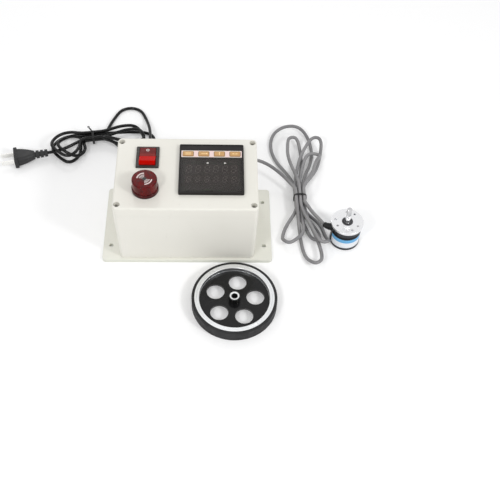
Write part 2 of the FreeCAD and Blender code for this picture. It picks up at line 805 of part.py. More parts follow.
def build_alarm_lamp():
    base = body("buzzer_base", "buzzer_x", "buzzer_y", "buzzer_seat")
    ring = sketch(base)
    circle(ring, "buzzer_ring_radius")
    pad(base, ring, "buzzer_ring_height")
    dress(base, "Fillet", "buzzer_ring_edge", rim_at("buzzer_ring_height"))
    barrel = sketch(base)
    circle(barrel, "barrel_radius")
    pad(base, barrel, "barrel_length", down=True)
    bore = sketch(base, height="buzzer_ring_height")
    circle(bore, "barrel_bore_radius")
    pocket(base, bore, "barrel_bore_depth")

    cap = body("buzzer_cap", "buzzer_x", "buzzer_y", "buzzer_seat + buzzer_ring_height")
    outer = sketch(cap)
    circle(outer, "cap_radius")
    pad(cap, outer, "cap_height")
    dress(cap, "Fillet", "cap_edge", rim_at("cap_height"))
    hollow = sketch(cap)
    circle(hollow, "cap_radius - cap_wall")
    pocket(cap, hollow, "cap_height - cap_wall", up=True)
    outlets = sketch(cap, height="cap_height")
    circle(outlets, "cap_hole_radius")
    for radius in ("sound_slot_radius", "sound_slot_radius + sound_slot_pitch"):
        for half_turn in ("0", "180"):
            arc_slot(outlets, radius, "sound_slot_width", f"sound_slot_start + {half_turn}",
                     f"sound_slot_end + {half_turn}")
    pocket(cap, outlets, "cap_wall + overrun")

    sounder = doc.addObject("Part::Cylinder", "buzzer_sounder")
    sounder.Label = "buzzer_sounder"
    sounder.setExpression("Radius", bound("barrel_bore_radius - loose"))
    sounder.setExpression("Height", bound("barrel_bore_depth + cap_height - cap_wall - loose"))
    place(sounder, "buzzer_x", "buzzer_y", "buzzer_seat + buzzer_ring_height - barrel_bore_depth")
    parts.append(sounder)

    gasket = body("buzzer_gasket", "buzzer_x", "buzzer_y", "case_height")
    washer = sketch(gasket)
    circle(washer, "buzzer_ring_radius")
    circle(washer, "barrel_radius + loose")
    pad(gasket, washer, "gasket_thickness")

    nut = body("buzzer_nut", "buzzer_x", "buzzer_y", "case_height - lid_top - nut_height")
    hexagon = sketch(nut)
    across = "(nut_flat / 2) / cos(30)"
    polygon(hexagon, [(f"{across} * cos({60 * step})", f"{across} * sin({60 * step})")
                      for step in range(6)])
    circle(hexagon, "barrel_radius + tight")
    pad(nut, hexagon, "nut_height")

    terminals = body("buzzer_terminals", "buzzer_x", "buzzer_y", "buzzer_seat - barrel_length")
    drawn = sketch(terminals)
    for x in ("buzzer_terminal_spacing / 2", "-buzzer_terminal_spacing / 2"):
        circle(drawn, "buzzer_terminal_radius", x)
    pad(terminals, drawn, "buzzer_terminal_length", down=True)


def build_meter_front():
    bezel = body("meter_bezel", "meter_x", "meter_y", "case_height")
    outer = sketch(bezel)
    rectangle(outer, "bezel_size", "bezel_size", radius="bezel_corner")
    pad(bezel, outer, "bezel_height")
    dress(bezel, "Fillet", "bezel_edge", rim_at("bezel_height"))
    face = sketch(bezel, height="bezel_height")
    face_size = "bezel_size - 2 * bezel_rim"
    rectangle(face, face_size, face_size)
    pocket(bezel, face, "face_recess")
    glass = sketch(bezel, height="bezel_face")
    rectangle(glass, "window_width + 2 * tight", "window_depth + 2 * tight", y="window_y")
    pocket(bezel, glass, "window_thickness")
    ledge = sketch(bezel, height="window_seat")
    rectangle(ledge, "window_width - 2 * window_ledge", "window_depth - 2 * window_ledge",
              y="window_y")
    pocket(bezel, ledge, "window_seat + overrun")
    holes = sketch(bezel, height="bezel_face")
    for x in key_places():
        rectangle(holes, "key_width + 2 * loose", "key_depth + 2 * loose", x, "strip_y",
                  "key_corner + loose")
    pocket(bezel, holes, "bezel_height")

    window = body("meter_window", "meter_x", "meter_y", "case_height + window_seat")
    pane = sketch(window)
    rectangle(pane, "window_width", "window_depth", y="window_y")
    pad(window, pane, "window_thickness")

    strip = body("key_strip", "meter_x", "meter_y", "case_height + bezel_face")
    film = sketch(strip)
    rectangle(film, "strip_width", "strip_depth", y="strip_y")
    for x in key_places():
        rectangle(film, "key_width + 2 * loose", "key_depth + 2 * loose", x, "strip_y",
                  "key_corner + loose")
    pad(strip, film, "strip_thickness")

    for number, x in enumerate(key_places(), start=1):
        key = body(f"meter_key_{number}", f"meter_x + {x}", "meter_y + strip_y", "case_height")
        cap = sketch(key, height="key_collar_top")
        rectangle(cap, "key_width", "key_depth", radius="key_corner")
        pad(key, cap, "key_top - key_collar_top")
        dress(key, "Fillet", "key_rise / 2", rim_at("key_top"))
        collar = sketch(key, height="key_collar_top")
        rectangle(collar, "key_width + 2 * key_collar", "key_depth + 2 * key_collar")
        pad(key, collar, "key_collar_thickness", down=True)
        stem = sketch(key, height="key_stem_end")
        circle(stem, "key_stem_radius")
        pad(key, stem, "key_stem_length")


def key_places():
    """Places of the four keys along the strip."""
    return [f"(key_pitch * {share})" for share in KEY_SHARES]


def build_meter_inside():
    case = body("meter_case", "meter_x", "meter_y", "case_height")
    tube = sketch(case)
    rectangle(tube, "meter_case_size", "meter_case_size")
    pad(case, tube, "meter_case_length", down=True)
    hollow = sketch(case)
    inner = "meter_case_size - 2 * meter_case_wall"
    rectangle(hollow, inner, inner)
    pocket(case, hollow, "meter_case_length - meter_case_wall")
    # Notches in both side walls clear the outer keys
    notch = sketch(case)
    rectangle(notch, "meter_case_size + overrun", "key_depth + 2 * key_collar + 2 * loose",
              y="strip_y")
    pocket(case, notch, "key_collar_thickness + key_travel + 2 * sliding")
    vents = sketch(case, "YZ_Plane", height="-meter_case_size / 2")
    for share in VENT_SHARES:
        rectangle(vents, "vent_width", "vent_length", f"meter_case_size * {share}", "-vent_depth")
    pocket(case, vents, "meter_case_size + overrun", up=True)

    block("meter_display_board", f"{inner} - 2 * loose", f"{inner} - 2 * loose", "board_thickness",
          "meter_x", "meter_y", "case_height + board_top - board_thickness")
    display_height = "window_seat - board_top - loose"
    block("meter_upper_digits", "digits_width", "upper_digits_depth", display_height,
          "meter_x", "meter_y + upper_digits_y", "case_height + board_top")
    block("meter_lower_digits", "digits_width", "lower_digits_depth", display_height,
          "meter_x", "meter_y + lower_digits_y", "case_height + board_top")

    switches = body("meter_key_switches", "meter_x", "meter_y", "case_height + board_top")
    drawn = sketch(switches)
    for x in key_places():
        rectangle(drawn, "key_switch_size", "key_switch_size", x, "strip_y")
    pad(switches, drawn, "key_switch_height")

    board_bottom = "case_height - meter_case_length + meter_case_wall"
    block("meter_power_board", "board_thickness", "power_board_width", "power_board_height",
          "meter_x + power_board_x", "meter_y", board_bottom)
    block("meter_transformer", "transformer_height", "transformer_width", "transformer_depth",
          "meter_x + power_board_x + board_thickness / 2 + transformer_height / 2", "meter_y",
          board_bottom)

    rear = "case_height - meter_case_length"
    terminals = body("meter_terminal_block", "meter_x", "meter_y", rear)
    outline = sketch(terminals)
    rectangle(outline, "terminal_block_width", "terminal_block_depth")
    pad(terminals, outline, "terminal_block_height", down=True)
    wells = sketch(terminals, height="-terminal_block_height")
    for x in terminal_places():
        circle(wells, "terminal_screw_radius + loose", x)
    pocket(terminals, wells, "terminal_block_height / 2", up=True)
    screws = body("meter_terminal_screws", "meter_x", "meter_y", f"{rear} - terminal_block_height / 2")
    drawn = sketch(screws)
    for x in terminal_places():
        circle(drawn, "terminal_screw_radius", x)
    pad(screws, drawn, "terminal_screw_height", down=True)

    clamps = body("meter_clamps", "meter_x", "meter_y", "case_height - lid_top")
    seat = "meter_case_size / 2 + loose"
    feet = sketch(clamps)
    arms = sketch(clamps)
    for sign in ("", "-"):
        rectangle(feet, "clamp_foot", "clamp_width", f"{sign}({seat} + clamp_foot / 2)")
        rectangle(arms, "clamp_arm", "clamp_width", f"{sign}({seat} + clamp_arm / 2)")
    pad(clamps, feet, "clamp_foot_height", down=True)
    pad(clamps, arms, "clamp_length", down=True)


def terminal_places():
    """Places of the terminal screws along their block."""
    count = int(value("terminal_count"))
    return [f"(terminal_pitch * {number - (count - 1) / 2})" for number in range(count)]


def build_cord_bush(name, cord_radius, nose_length, x, z):
    """A rubber bush in the back wall, square to the wall's draft, with a nose along the cord."""
    bush = body(name)
    wall = "case_wall / cos(draft_angle)"
    bore = f"{cord_radius} + loose"
    neck = f"{bore} + bush_wall"
    lip = f"{neck} + loose + bush_lip"
    nose = f"{bore} + bush_nose_wall"
    profile = sketch(bush, "XZ_Plane")
    polygon(profile, [
        (bore, f"-{wall} - bush_lip_thickness"),
        (lip, f"-{wall} - bush_lip_thickness"),
        (lip, f"-{wall}"),
        (neck, f"-{wall}"),
        (neck, "0"),
        (lip, "0"),
        (lip, "bush_lip_thickness / 2"),
        (neck, "bush_lip_thickness"),
        (nose, f"bush_lip_thickness + {nose_length}"),
        (bore, f"bush_lip_thickness + {nose_length}"),
    ])
    revolve(bush, profile)
    lean = FreeCAD.Rotation(FreeCAD.Vector(1, 0, 0), -90 - value("draft_angle"))
    bush.Placement = FreeCAD.Placement(FreeCAD.Vector(), lean)
    place(bush, x, f"case_depth / 2 - (parting_height - {z}) * tan(draft_angle)", z)


def encoder_body(name, height="0"):
    return body(name, "encoder_x", "encoder_y", height)


def spots(circle_radius, first_angle, count):
    """Places on a circle, evenly spaced from a first angle."""
    step = 360 / count
    return [(f"{circle_radius} * cos({first_angle} + {step * number})",
             f"{circle_radius} * sin({first_angle} + {step * number})") for number in range(count)]


def build_encoder_housing():
    flange = encoder_body("encoder_flange", "encoder_height")
    profile = sketch(flange, "XZ_Plane")
    spigot = "encoder_inner_radius - tight"
    polygon(profile, [
        ("bearing_radius + tight", "0"),
        ("encoder_radius", "0"),
        ("encoder_radius", "-encoder_rim"),
        (spigot, "-encoder_rim"),
        (spigot, "-encoder_rim - spigot_depth"),
        (f"{spigot} - spigot_wall", "-encoder_rim - spigot_depth"),
        (f"{spigot} - spigot_wall", "-encoder_rim - spigot_depth / 3"),
        ("bearing_tube_radius", "-encoder_rim - spigot_depth / 3"),
        ("bearing_tube_radius", "bearing_tube_end - encoder_height"),
        ("bearing_radius + tight", "bearing_tube_end - encoder_height"),
    ])
    revolve(flange, profile)
    dress(flange, "Fillet", "encoder_edge", rim_at("0", "encoder_radius"))
    taps = sketch(flange)
    for x, y in spots("face_hole_circle", "face_hole_angle", 3):
        circle(taps, "face_hole_radius", x, y)
    pocket(flange, taps, "face_hole_depth")
    sinks = sketch(flange)
    for x, y in spots("face_screw_circle", "face_screw_angle", 3):
        circle(sinks, "face_screw_radius + tight", x, y)
    pocket(flange, sinks, "face_screw_length")

    screws = encoder_body("encoder_screws", "encoder_height")
    heads = sketch(screws)
    for x, y in spots("face_screw_circle", "face_screw_angle", 3):
        circle(heads, "face_screw_radius", x, y)
    pad(screws, heads, "face_screw_length", down=True)
    slots = sketch(screws)
    for x, y in spots("face_screw_circle", "face_screw_angle", 3):
        rectangle(slots, "2 * face_screw_radius + tight", "face_slot_width", x, y)
    pocket(screws, slots, "face_slot_width")

    cup = encoder_body("encoder_body")
    shell = sketch(cup, "XZ_Plane")
    polygon(shell, [
        ("0", "0"),
        ("encoder_foot_radius", "0"),
        ("encoder_foot_radius", "encoder_foot_height"),
        ("encoder_body_radius", "encoder_foot_height"),
        ("encoder_body_radius", "encoder_rim_bottom"),
        ("encoder_inner_radius", "encoder_rim_bottom"),
        ("encoder_inner_radius", "encoder_floor"),
        ("0", "encoder_floor"),
    ])
    revolve(cup, shell)
    dress(cup, "Fillet", "encoder_edge", rim_at("0", "encoder_foot_radius"))
    standoffs = sketch(cup, height="encoder_floor")
    for x, y in spots("standoff_circle", "face_hole_angle", 3):
        circle(standoffs, "standoff_radius", x, y)
    pad(cup, standoffs, "standoff_height")
    gland_hole = sketch(cup, "XZ_Plane", swing="gland_angle - 90")
    circle(gland_hole, "gland_neck_radius + loose", y="gland_height")
    pocket(cup, gland_hole, "encoder_body_radius + overrun")

    label = encoder_body("encoder_label", "encoder_foot_height")
    wrap = sketch(label, "XZ_Plane")
    low, high = ("tight", "label_height")
    inner, outer = ("encoder_body_radius + tight", "encoder_body_radius + tight + label_thickness")
    polygon(wrap, [(inner, low), (outer, low), (outer, high), (inner, high)])
    revolve(label, wrap, "360 - label_gap_angle")
    start = FreeCAD.Rotation(FreeCAD.Vector(0, 0, 1), value("gland_angle + label_gap_angle / 2"))
    label.Placement = FreeCAD.Placement(FreeCAD.Vector(), start)
    place(label, "encoder_x", "encoder_y", "encoder_foot_height")


def build_encoder_gland():
    gland = body("encoder_gland")
    bore = "sensor_radius + loose"
    start = "encoder_body_radius + tight"
    collar_end = f"{start} + gland_collar_length"
    count = int(value("gland_groove_count"))
    boot = f"({collar_end})"
    profile = [
        (bore, f"{start} - encoder_body_wall - gland_collar_length"),
        ("gland_neck_radius", f"{start} - encoder_body_wall - gland_collar_length"),
        ("gland_neck_radius", start),
        ("gland_collar_radius", start),
        ("gland_collar_radius", collar_end),
    ]
    narrowing = "(gland_boot_radius - gland_mouth_radius)"
    for number in range(count):
        for share, depth in RIB_SHARES:
            along = (number + share) / count
            profile.append((f"gland_boot_radius - {narrowing} * {along} - gland_groove * {depth}",
                            f"{boot} + gland_boot_length * {along}"))
    profile.append((bore, f"{boot} + gland_boot_length"))
    drawn = sketch(gland, "XZ_Plane")
    polygon(drawn, profile)
    revolve(gland, drawn)
    outward = FreeCAD.Rotation(FreeCAD.Vector(0, 0, 1), value("gland_angle"))
    lying = FreeCAD.Rotation(FreeCAD.Vector(0, 1, 0), 90)
    gland.Placement = FreeCAD.Placement(FreeCAD.Vector(), outward * lying)
    place(gland, "encoder_x", "encoder_y", "gland_height")


def build_encoder_inside():
    bearings = encoder_body("encoder_bearings")
    profile = sketch(bearings, "XZ_Plane")
    bore = "shaft_radius + running"
    top = "encoder_height - bearing_sink"
    polygon(profile, [
        (bore, f"{top} - bearing_width"),
        ("bearing_radius", f"{top} - bearing_width"),
        ("bearing_radius", top),
        ("bearing_radius - bearing_shield_depth * 2", top),
        ("bearing_radius - bearing_shield_depth * 3", f"{top} - bearing_shield_depth"),
        ("bearing_shield_radius + bearing_shield_depth", f"{top} - bearing_shield_depth"),
        ("bearing_shield_radius", top),
        (bore, top),
    ])
    revolve(bearings, profile)
    rear = sketch(bearings, height="bearing_tube_end")
    circle(rear, "bearing_radius")
    circle(rear, bore)
    pad(bearings, rear, "bearing_width")

    shaft = encoder_body("encoder_shaft")
    rod = sketch(shaft, height="shaft_end")
    circle(rod, "shaft_radius")
    pad(shaft, rod, "shaft_top - shaft_end")
    dress(shaft, "Chamfer", "shaft_chamfer", rim_at("shaft_top"))
    flat = sketch(shaft, height="shaft_top")
    rectangle(flat, "2 * shaft_radius + overrun", "shaft_flat * 2", y="-shaft_radius")
    pocket(shaft, flat, "shaft_flat_length")
    ring = sketch(shaft, height="encoder_height")
    circle(ring, "shaft_radius + overrun")
    circle(ring, "shaft_groove_radius")
    pocket(shaft, ring, "shaft_groove_width", up=True)

    hub = encoder_body("encoder_disc_hub", "disc_height - disc_hub_height / 2")
    ring = sketch(hub)
    circle(ring, "disc_hub_radius")
    circle(ring, "shaft_radius")
    pad(hub, ring, "disc_hub_height")
    seat = sketch(hub, height="disc_hub_height / 2")
    circle(seat, "disc_hub_radius + overrun")
    circle(seat, "disc_seat_radius")
    pocket(hub, seat, "disc_thickness")

    disc = encoder_body("encoder_code_disc", "disc_height - disc_thickness")
    plate = sketch(disc)
    circle(plate, "disc_radius")
    circle(plate, "disc_seat_radius")
    pad(disc, plate, "disc_thickness")
    window = sketch(disc)
    rectangle(window, "disc_slot_length", "disc_slot_width", "disc_radius - disc_slot_length")
    slot = pocket(disc, window, "disc_thickness + overrun", up=True)
    pattern = feature(disc, "PolarPattern", Originals=[slot], Axis=(window, ["N_Axis"]),
                      Angle="360", Occurrences="disc_slot_count")
    disc.Tip = pattern

    board_seat = "(encoder_floor + standoff_height)"
    board = encoder_body("encoder_circuit_board", board_seat)
    outline = sketch(board)
    circle(outline, "encoder_board_radius")
    pad(board, outline, "encoder_board_thickness")
    pickup = encoder_body("encoder_pickup", f"{board_seat} + encoder_board_thickness")
    foot = sketch(pickup)
    rectangle(foot, "pickup_depth", "pickup_width", "disc_radius")
    pad(pickup, foot, f"disc_height + pickup_gap - {board_seat} - encoder_board_thickness")
    mouth = sketch(pickup, "XZ_Plane")
    reach = "pickup_depth - pickup_gap / 2"
    rectangle(mouth, reach, "disc_thickness + pickup_gap",
              f"disc_radius - pickup_depth / 2 + ({reach}) / 2 - tight",
              f"disc_height - disc_thickness / 2 - {board_seat} - encoder_board_thickness")
    pocket(pickup, mouth, "pickup_width + overrun", both=True)


def build_wheel():
    disc = body("wheel_disc", "wheel_x", "wheel_y")
    profile = sketch(disc, "XZ_Plane")
    polygon(profile, [
        ("shaft_radius", "0"),
        ("hub_radius", "0"),
        ("hub_radius", "web_bottom"),
        ("rim_inner_radius", "web_bottom"),
        ("rim_inner_radius", "0"),
        ("rim_outer_radius", "0"),
        ("rim_outer_radius", "wheel_width"),
        ("rim_inner_radius", "wheel_width"),
        ("rim_inner_radius", "web_top"),
        ("hub_radius", "web_top"),
        ("hub_radius", "hub_top"),
        ("shaft_radius", "hub_top"),
    ])
    revolve(disc, profile)
    dress(disc, "Fillet", "rim_edge", rim_at("wheel_width", "rim_inner_radius", "rim_inner_radius"))
    dress(disc, "Fillet", "hub_edge", rim_at("hub_top", "hub_radius", "hub_radius"))
    dress(disc, "Chamfer", "bore_chamfer", rim_at("hub_top", "shaft_radius", "shaft_radius"))
    line = sketch(disc, "XZ_Plane")
    polygon(line, [
        ("rim_groove_radius - rim_groove_depth", "wheel_width + rim_groove_depth"),
        ("rim_groove_radius", "wheel_width - rim_groove_depth"),
        ("rim_groove_radius + rim_groove_depth", "wheel_width + rim_groove_depth"),
    ])
    groove(disc, line)
    window = sketch(disc, height="web_bottom")
    circle(window, "wheel_hole_radius", "wheel_hole_circle * cos(wheel_hole_angle)",
           "wheel_hole_circle * sin(wheel_hole_angle)")
    hole = pocket(disc, window, "web_thickness + overrun", up=True)
    pattern = feature(disc, "PolarPattern", Originals=[hole], Axis=(window, ["N_Axis"]),
                      Angle="360", Occurrences="wheel_hole_count")
    disc.Tip = pattern
    for angle in ("set_screw_first_angle", "set_screw_second_angle"):
        tap = sketch(disc, "XZ_Plane", swing=f"{angle} - 90")
        circle(tap, "set_screw_radius + tight", y="(web_top + hub_top) / 2")
        pocket(disc, tap, "hub_radius + overrun")

    tyre = body("wheel_tyre", "wheel_x", "wheel_y")
    band = sketch(tyre)
    circle(band, "wheel_radius")
    circle(band, "rim_outer_radius")
    pad(tyre, band, "wheel_width")
    for height in ("0", "wheel_width"):
        dress(tyre, "Fillet", "tyre_edge", rim_at(height, "wheel_radius"))

    screws = []
    for number, angle in enumerate(("set_screw_first_angle", "set_screw_second_angle"), start=1):
        screw = doc.addObject("Part::Cylinder", f"set_screw_{number}")
        screw.setExpression("Radius", bound("set_screw_radius"))
        screw.setExpression("Height", bound("hub_radius - shaft_radius - 2 * set_screw_sink"))
        outward = FreeCAD.Rotation(FreeCAD.Vector(0, 0, 1), value(angle))
        lying = FreeCAD.Rotation(FreeCAD.Vector(0, 1, 0), 90)
        screw.Placement = FreeCAD.Placement(FreeCAD.Vector(), outward * lying)
        along = "(shaft_radius + set_screw_sink)"
        place(screw, f"wheel_x + {along} * cos({angle})", f"wheel_y + {along} * sin({angle})",
              "(web_top + hub_top) / 2")
        screws.append(screw)
    group = doc.addObject("Part::Compound", "wheel_set_screws")
    group.Label = "wheel_set_screws"
    group.Links = screws
    parts.append(group)


def unit(vector):
    """The same direction with length 1."""
    return FreeCAD.Vector(vector).normalize()


def heading(angle):
    """Level direction at an angle from +X, in degrees."""
    return FreeCAD.Vector(math.cos(math.radians(angle)), math.sin(math.radians(angle)), 0)


def vectors(points):
    return [FreeCAD.Vector(*point) for point in points]


def route(name):
    """Points of a lead or tail; a lead's first ones go sideways with the bush that it leaves by."""
    spots = vectors(ROUTES[name])
    cord, stretch = name.split("_cord_")
    if stretch == "lead":
        aside = value(f"{cord}_exit_x") - spots[0].x
        for spot in spots[:BUSH_POINTS]:
            spot.x += aside
    return spots


def route_edges(name, spots):
    """Straight runs joined by tangent arcs, each arc as large as its two runs allow."""
    edges = []
    radii = []
    start = spots[0]
    for before, spot, after in zip(spots, spots[1:], spots[2:]):
        arriving, leaving = (unit(spot - before), unit(after - spot))
        trim = ARC_SHARE * min((spot - before).Length, (after - spot).Length)
        half_turn = arriving.getAngle(leaving) / 2
        radius = trim / math.tan(half_turn)
        inward = unit(leaving - arriving)
        middle = spot + inward * (radius / math.cos(half_turn) - radius)
        edges.append(Part.LineSegment(start, spot - arriving * trim).toShape())
        edges.append(Part.Arc(spot - arriving * trim, middle, spot + leaving * trim).toShape())
        radii.append(radius)
        start = spot + leaving * trim
    edges.append(Part.LineSegment(start, spots[-1]).toShape())
    print(f"{name}: arc radii {', '.join(f'{radius:.1f}' for radius in radii)} mm")
    return edges


def biarc_edges(stations):
    """Two arcs from each station to the next, or one straight run where they are in line."""
    edges = []
    for (start, setting_out), (end, arriving) in zip(stations, stations[1:]):
        across = end - start
        both = setting_out + arriving
        curl = 2 * (1 - setting_out.dot(arriving))
        if curl < NEAR:
            reach = across.dot(across) / (4 * across.dot(setting_out))
        else:
            ahead = across.dot(both)
            reach = (math.sqrt(ahead ** 2 + curl * across.dot(across)) - ahead) / curl
        first, second = (start + setting_out * reach, end - arriving * reach)
        joint = (first + second) / 2
        edges.append(arc_edge(start, setting_out, joint))
        edges.append(arc_edge(joint, unit(second - first), end))
    return edges


def arc_edge(start, setting_out, end):
    """One arc from start to end that sets out along a direction."""
    across = end - start
    sideways = setting_out - across * (setting_out.dot(across) / across.dot(across))
    if sideways.Length < NEAR:
        return Part.LineSegment(start, end).toShape()
    swing = setting_out.getAngle(across)
    middle = (start + end) / 2 + unit(sideways) * (across.Length / 2 * math.tan(swing / 2))
    return Part.Arc(start, middle, end).toShape()


def tube(name, edges, radius):
    """A cord's solid: one round section carried along the edges."""
    path = Part.Wire(edges)
    first = edges[0]
    start = first.valueAt(first.FirstParameter)
    section = Part.Circle(start, first.tangentAt(first.FirstParameter), radius).toShape()
    shell = Part.BRepOffsetAPI.MakePipeShell(path)
    shell.add(Part.Wire([section]))
    shell.build()
    shell.makeSolid()
    piece = doc.addObject("Part::Feature", name)
    piece.Label = name
    piece.Shape = shell.shape()
    parts.append(piece)
    expected = math.pi * radius ** 2 * path.Length
    print(f"{name}: {path.Length:.0f} mm long, {piece.Shape.Volume / expected:.4f} of section times length")
    return piece


def hank_stations(cord):
    """Places and headings along a hank, from the end of its lead to the start of its tail.

    The tube goes back and forth through the tie, each pass in its own column and layer, and turns
    round one loop after each pass but the last. At its ends it runs on from the lead and into the
    tail.
    """
    lead, tail = (vectors(ROUTES[f"{cord}_cord_lead"]), vectors(ROUTES[f"{cord}_cord_tail"]))
    diameter = 2 * value(f"{cord}_radius")
    waist = FreeCAD.Vector(value(f"{cord}_waist_x"), value(f"{cord}_waist_y"), 0)
    axis = heading(value(f"{cord}_waist_heading"))
    across = heading(value(f"{cord}_waist_heading - 90"))
    pitch, hold, lowest = (value(f"{cord}_pitch"), value("waist_hold"), value(f"{cord}_lowest"))

    def in_waist(number, ahead):
        column, layer = PASSES[cord][number]
        in_row = across * (column * pitch) + axis * ahead
        return waist + in_row + FreeCAD.Vector(0, 0, lowest + layer * pitch)

    entering, leaving = (unit(lead[-1] - lead[-2]), unit(tail[1] - tail[0]))
    stations = [(lead[-1], entering), (lead[-1] + entering * diameter, entering)]
    sense = -1
    for number in range(len(PASSES[cord])):
        along = axis * sense
        stations.append((in_waist(number, -sense * hold), along))
        stations.append((in_waist(number, sense * hold), along))
        if number < len(LOOPS[cord]):
            stations += loop_stations(waist, LOOPS[cord][number])
        sense = -sense
    return stations + [(tail[0] - leaving * diameter, leaving), (tail[0], leaving)]


def loop_stations(waist, loop):
    """The way out, the tip and the way back of one loop."""
    tip = FreeCAD.Vector(*loop.tip, 0)
    outward = unit(tip - waist)
    sideways = FreeCAD.Vector(-outward.y, outward.x, 0) * loop.side
    levels = [FreeCAD.Vector(0, 0, level) for level in loop.levels]
    turn = math.radians(loop.back_turn) * loop.side

    def turned(vector, angle):
        return FreeCAD.Vector(vector.x * math.cos(angle) - vector.y * math.sin(angle),
                              vector.x * math.sin(angle) + vector.y * math.cos(angle), 0)

    out_place = tip - outward * loop.shoulders[0] + sideways * loop.half_widths[0]
    back_place = tip - outward * loop.shoulders[1] - sideways * loop.half_widths[1]
    return [
        (out_place + levels[0], outward),
        (tip + levels[1], turned(-sideways, turn / 2)),
        (back_place + levels[2], turned(-outward, turn)),
    ]


def print_least_gap(name, edges, diameter):
    """Measure on points how near the tube comes to itself, and stop where that is too near."""
    points = []
    travelled = []
    start = 0
    for edge in edges:
        count = max(2, math.ceil(edge.Length / GAP_STEP) + 1)
        spots = edge.discretize(Number=count)[:-1]
        points += spots
        travelled += [start + edge.Length * number / (count - 1) for number in range(count - 1)]
        start += edge.Length
    least = math.inf
    for index, point in enumerate(points):
        for other in range(index + 1, len(points)):
            if travelled[other] - travelled[index] > GAP_FROM_SHARE * diameter:
                least = min(least, point.distanceToPoint(points[other]))
    print(f"{name}: least gap to itself {least - diameter:.2f} mm")
    if least - diameter < LEAST_GAP:
        raise RuntimeError(f"{name} comes too near itself")


def build_cords():
    """Both cords, each a lead, a hank and a tail that meet face to face."""
    for cord in ("mains", "sensor"):
        radius = value(f"{cord}_radius")
        for stretch in (f"{cord}_cord_lead", f"{cord}_cord_tail"):
            tube(stretch, route_edges(stretch, route(stretch)), radius)
        edges = biarc_edges(hank_stations(cord))
        print_least_gap(f"{cord}_cord_hank", edges, 2 * radius)
        tube(f"{cord}_cord_hank", edges, radius)

def build_ties():
    """A flat tie round each hank's waist, square to its passes, and the mains tie's twisted ends."""
    for cord in ("mains", "sensor"):
        tie = body(f"{cord}_tie")
        bundle = f"(2 * {cord}_pitch + 2 * {cord}_radius + 2 * tight)"
        band = sketch(tie, "XZ_Plane")
        outer = f"{bundle} + 2 * tie_thickness"
        rectangle(band, outer, outer, radius=f"{cord}_radius + tie_thickness")
        rectangle(band, bundle, bundle, radius=f"{cord}_radius")
        pad(tie, band, "tie_width", both=True)
        if cord == "mains":
            twist = sketch(tie, "XZ_Plane")
            lean = FreeCAD.Rotation(FreeCAD.Vector(0, 0, 1), value("twist_lean"))
            twist.AttachmentOffset = FreeCAD.Placement(FreeCAD.Vector(), lean)
            twist.setExpression("AttachmentOffset.Base.x", bound(f"-{bundle} / 2 + {cord}_radius"))
            twist.setExpression("AttachmentOffset.Base.y", bound(f"{bundle} / 2 + tie_thickness / 2"))
            polygon(twist, twist_profile())
            revolve(tie, twist)
        turned = FreeCAD.Rotation(FreeCAD.Vector(0, 0, 1), value(f"{cord}_waist_heading - 90"))
        tie.Placement = FreeCAD.Placement(FreeCAD.Vector(), turned)
        place(tie, f"{cord}_waist_x", f"{cord}_waist_y", f"{cord}_lowest + {cord}_pitch")


def twist_profile():
    """Half outline of two wire ends twisted about each other, thin and thick by turns."""
    count = int(value("twist_count"))
    outline = [("0", "0")]
    for number in range(count):
        along = f"twist_length * {number / count}"
        outline.append(("twist_radius / 2", along))
        outline.append(("twist_radius", f"{along} + twist_length / {2 * count}"))
    return outline + [("twist_radius / 2", "twist_length"), ("0", "twist_length")]


def build_plug():
    """A moulded plug with a ribbed strain relief; its own +Z runs from the cord to the prongs."""
    plug = body("plug_body")
    relief = sketch(plug, "XZ_Plane")
    count = int(value("relief_count"))
    outline = [("0", "0")]
    widening = "(relief_radius - relief_end_radius)"
    for number in range(count):
        for share, depth in RIB_SHARES:
            along = (number + share) / count
            outline.append((f"relief_end_radius + {widening} * {along} - relief_groove * {depth}",
                            f"relief_length * {along}"))
    outline += [("relief_radius", "relief_length + plug_edge"), ("0", "relief_length + plug_edge")]
    polygon(relief, outline)
    revolve(plug, relief)
    rings = []
    for height, width, at in (("plug_neck", "plug_neck", "0"),
                              ("plug_bell_height", "plug_bell_width", "plug_bell_length / 2"),
                              ("plug_shoulder_height", "plug_shoulder_width", "plug_bell_length")):
        ring = sketch(plug, height=f"relief_length + {at}")
        rectangle(ring, height, width, radius="plug_corner - plug_edge / 2")
        rings.append(ring)
    feature(plug, "AdditiveLoft", Profile=rings[0], Sections=rings[1:])
    flange = sketch(plug, height="relief_length + plug_bell_length")
    rectangle(flange, "plug_flange_height", "plug_flange_width", radius="plug_corner")
    pad(plug, flange, "plug_flange_length")
    dress(plug, "Fillet", "plug_edge", rim_at("relief_length + plug_bell_length + plug_flange_length"))

    prongs = body("plug_blades")
    drawn = sketch(prongs, height="relief_length + plug_bell_length + plug_flange_length")
    for sign in ("", "-"):
        rectangle(drawn, "prong_width", "prong_thickness", y=f"{sign}prong_spacing / 2")
    pad(prongs, drawn, "prong_length")

    turned = FreeCAD.Rotation(FreeCAD.Vector(0, 0, 1), value("plug_heading"))
    raised = FreeCAD.Rotation(FreeCAD.Vector(0, 1, 0), 90 - value("plug_lean"))
    for piece in (plug, prongs):
        piece.Placement = FreeCAD.Placement(FreeCAD.Vector(), turned * raised)
        place(piece, "plug_x", "plug_y", "plug_z")


def check_and_write():
    """Stop on any failed object or bad solid, then write one file for each piece."""
    doc.recompute()
    for item in doc.Objects:
        if "Invalid" in item.State or "Error" in item.State:
            raise RuntimeError(f"{item.Name} failed: {item.State}")
    for piece in parts:
        if piece.Shape.isNull() or not piece.Shape.isValid() or not piece.Shape.Solids:
            raise RuntimeError(f"{piece.Label} has no sound solid")
    os.makedirs("parts", exist_ok=True)
    for piece in parts:
        piece.Shape.exportStep(f"parts/{piece.Label}.step")
        print(f"{piece.Label}: {len(piece.Shape.Solids)} solid, {piece.Shape.Volume:.0f} mm3")


